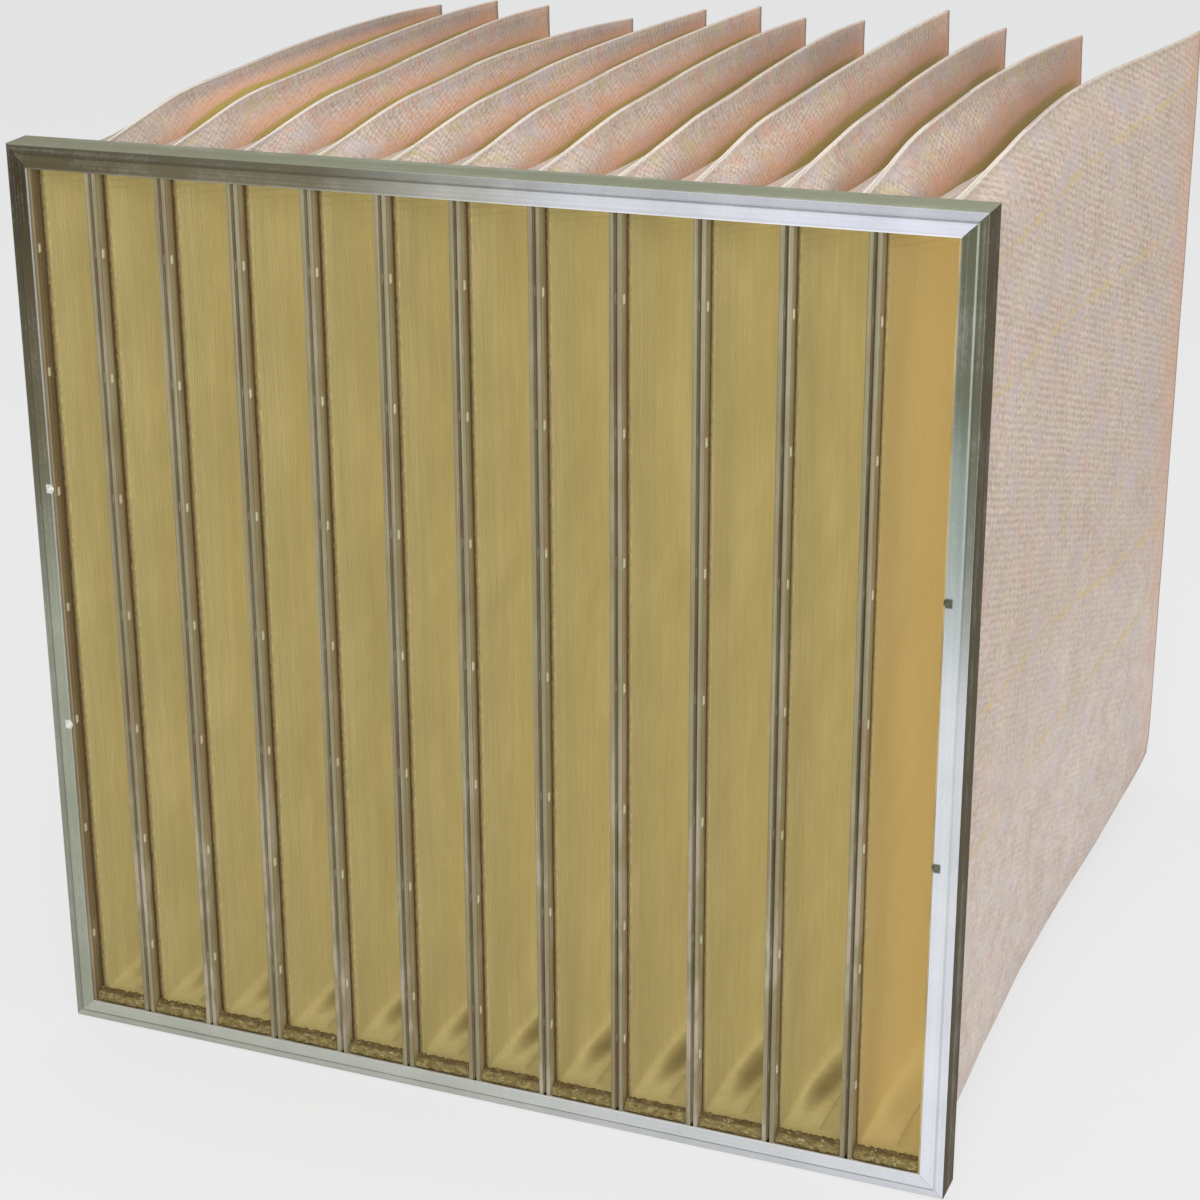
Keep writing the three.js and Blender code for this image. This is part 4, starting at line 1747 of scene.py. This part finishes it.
@dataclass(frozen=True)
class Lamp:
    """A soft square lamp.

    Attributes:
        name: Its name.
        place: Where it stands.
        size: The side of its square.
        power: Its power in watts.
    """

    name: str
    place: tuple[float, float, float]
    size: float
    power: float

    def add(self, target: tuple[float, float, float]) -> None:
        """Puts the lamp in the scene.

        Args:
            target: What it points at.
        """
        data = bpy.data.lights.new(self.name, "AREA")
        data.size = self.size
        data.energy = self.power
        lamp = bpy.data.objects.new(self.name, data)
        bpy.context.collection.objects.link(lamp)
        lamp.location = self.place
        lamp.rotation_mode = "QUATERNION"
        aim = Vector(target) - Vector(self.place)
        lamp.rotation_quaternion = aim.to_track_quat("-Z", "Y")


@dataclass(frozen=True)
class Studio:
    """Floor, lamps, world and camera.

    Attributes:
        position: Where the camera stands, in metres.
        right: The direction to the right in its picture.
        up: The direction up in its picture.
        forward: The direction that it looks in.
        sensor: The width of its sensor, in millimetres.
        lens: Its focal length, in millimetres.
        shift: How far its picture is shifted, as a share of the width.
        background: The backdrop's colour.
        sky: The colour of the light from all round.
        sky_strength: How strong that light is.
        floor_tone: The floor's colour.
        floor_radius: The floor's radius, in metres.
        floor_drop: How far the floor lies below the header.
        floor_glow: How much of the backdrop the floor shows to the camera.
        middle: What the lamps point at.
        lamps: The lamps.
    """

    position: tuple[float, float, float] = (0.6344, -1.4441, 0.9496)
    right: tuple[float, float, float] = (0.90203, 0.43017, -0.03605)
    up: tuple[float, float, float] = (-0.13322, 0.35683, 0.92462)
    forward: tuple[float, float, float] = (-0.41061, 0.82923, -0.37918)
    sensor: float = 36.0
    lens: float = 85.84
    shift: tuple[float, float] = (0.20236, 0.04509)
    background: tuple = srgb(238, 238, 238)
    sky: tuple = srgb(244, 246, 250)
    sky_strength: float = 0.5
    floor_tone: tuple = srgb(226, 226, 226)
    floor_radius: float = 14.0
    floor_drop: float = 0.0005
    floor_glow: float = 0.8
    middle: tuple[float, float, float] = (0.0, 0.25, 0.3)
    lamps: tuple[Lamp, ...] = (
        Lamp("key", (0.75, -1.9, 1.15), 1.2, 40.0),
        Lamp("side", (2.6, 0.4, 1.4), 2.0, 17.0),
        Lamp("top", (-0.2, 0.6, 2.8), 2.4, 30.0),
    )

    def camera(self) -> None:
        """Puts the camera where the photograph was taken from."""
        data = bpy.data.cameras.new("camera")
        data.sensor_width = self.sensor
        data.lens = self.lens
        data.shift_x, data.shift_y = self.shift
        camera = bpy.data.objects.new("camera", data)
        bpy.context.collection.objects.link(camera)
        axes = Matrix((self.right, self.up, tuple(-c for c in self.forward))).transposed()
        camera.matrix_world = Matrix.Translation(self.position) @ axes.to_4x4()
        bpy.context.scene.camera = camera

    def backdrop_share(self, tree: bpy.types.NodeTree) -> bpy.types.NodeSocket:
        """Finds the rays that show the backdrop: from the camera, off metal or through glass.

        Args:
            tree: The node tree that asks for them.

        Returns:
            1 for those rays and 0 for others.
        """
        rays = tree.nodes.new("ShaderNodeLightPath")
        share = rays.outputs["Is Camera Ray"]
        for name in ("Is Glossy Ray", "Is Transmission Ray"):
            most = tree.nodes.new("ShaderNodeMath")
            most.operation = "MAXIMUM"
            tree.links.new(share, most.inputs[0])
            tree.links.new(rays.outputs[name], most.inputs[1])
            share = most.outputs[0]
        return share

    def world(self) -> None:
        """Lights the scene evenly and shows the pale backdrop to the camera."""
        world = bpy.data.worlds.new("studio")
        bpy.context.scene.world = world
        world.use_nodes = True
        tree = world.node_tree
        tree.nodes.clear()
        seen = tree.nodes.new("ShaderNodeBackground")
        seen.inputs[0].default_value = self.background
        lit = tree.nodes.new("ShaderNodeBackground")
        lit.inputs[0].default_value = self.sky
        lit.inputs[1].default_value = self.sky_strength
        either = tree.nodes.new("ShaderNodeMixShader")
        out = tree.nodes.new("ShaderNodeOutputWorld")
        tree.links.new(self.backdrop_share(tree), either.inputs[0])
        tree.links.new(lit.outputs[0], either.inputs[1])
        tree.links.new(seen.outputs[0], either.inputs[2])
        tree.links.new(either.outputs[0], out.inputs[0])

    def floor(self) -> None:
        """Lays a plain pale floor under the header."""
        made = bmesh.new()
        bmesh.ops.create_circle(made, cap_ends=True, segments=96, radius=self.floor_radius)
        bmesh.ops.translate(made, verts=made.verts, vec=(0, 0, -self.floor_drop))
        mesh = bpy.data.meshes.new("floor")
        made.to_mesh(mesh)
        made.free()
        floor = bpy.data.objects.new("floor", mesh)
        bpy.context.collection.objects.link(floor)
        graph = Graph("floor")
        tree = graph.tree
        constants = {"Base Color": self.floor_tone, "Roughness": 0.95, **DEAD_DULL}
        for name, value in constants.items():
            graph.shader.inputs[name].default_value = value
        glow = tree.nodes.new("ShaderNodeEmission")
        glow.inputs[0].default_value = self.background
        either = tree.nodes.new("ShaderNodeMixShader")
        seen = Value(graph, self.backdrop_share(tree)) * self.floor_glow
        tree.links.new(seen.socket, either.inputs[0])
        tree.links.new(graph.shader.outputs[0], either.inputs[1])
        tree.links.new(glow.outputs[0], either.inputs[2])
        tree.links.new(either.outputs[0], tree.nodes["Material Output"].inputs[0])
        mesh.materials.append(graph.material)

    def build(self) -> None:
        """Sets the studio up."""
        bpy.context.scene.view_settings.view_transform = "Standard"
        self.camera()
        self.world()
        self.floor()
        for lamp in self.lamps:
            lamp.add(self.middle)
        log.info("studio ready")


def main() -> None:
    """Builds the scene in order."""
    logging.basicConfig(level=logging.INFO, format="%(name)s: %(message)s")
    Studio().build()
    Header().dress()
    Clamps().dress()
    PocketRow().build()


if __name__ == "__main__":
    main()
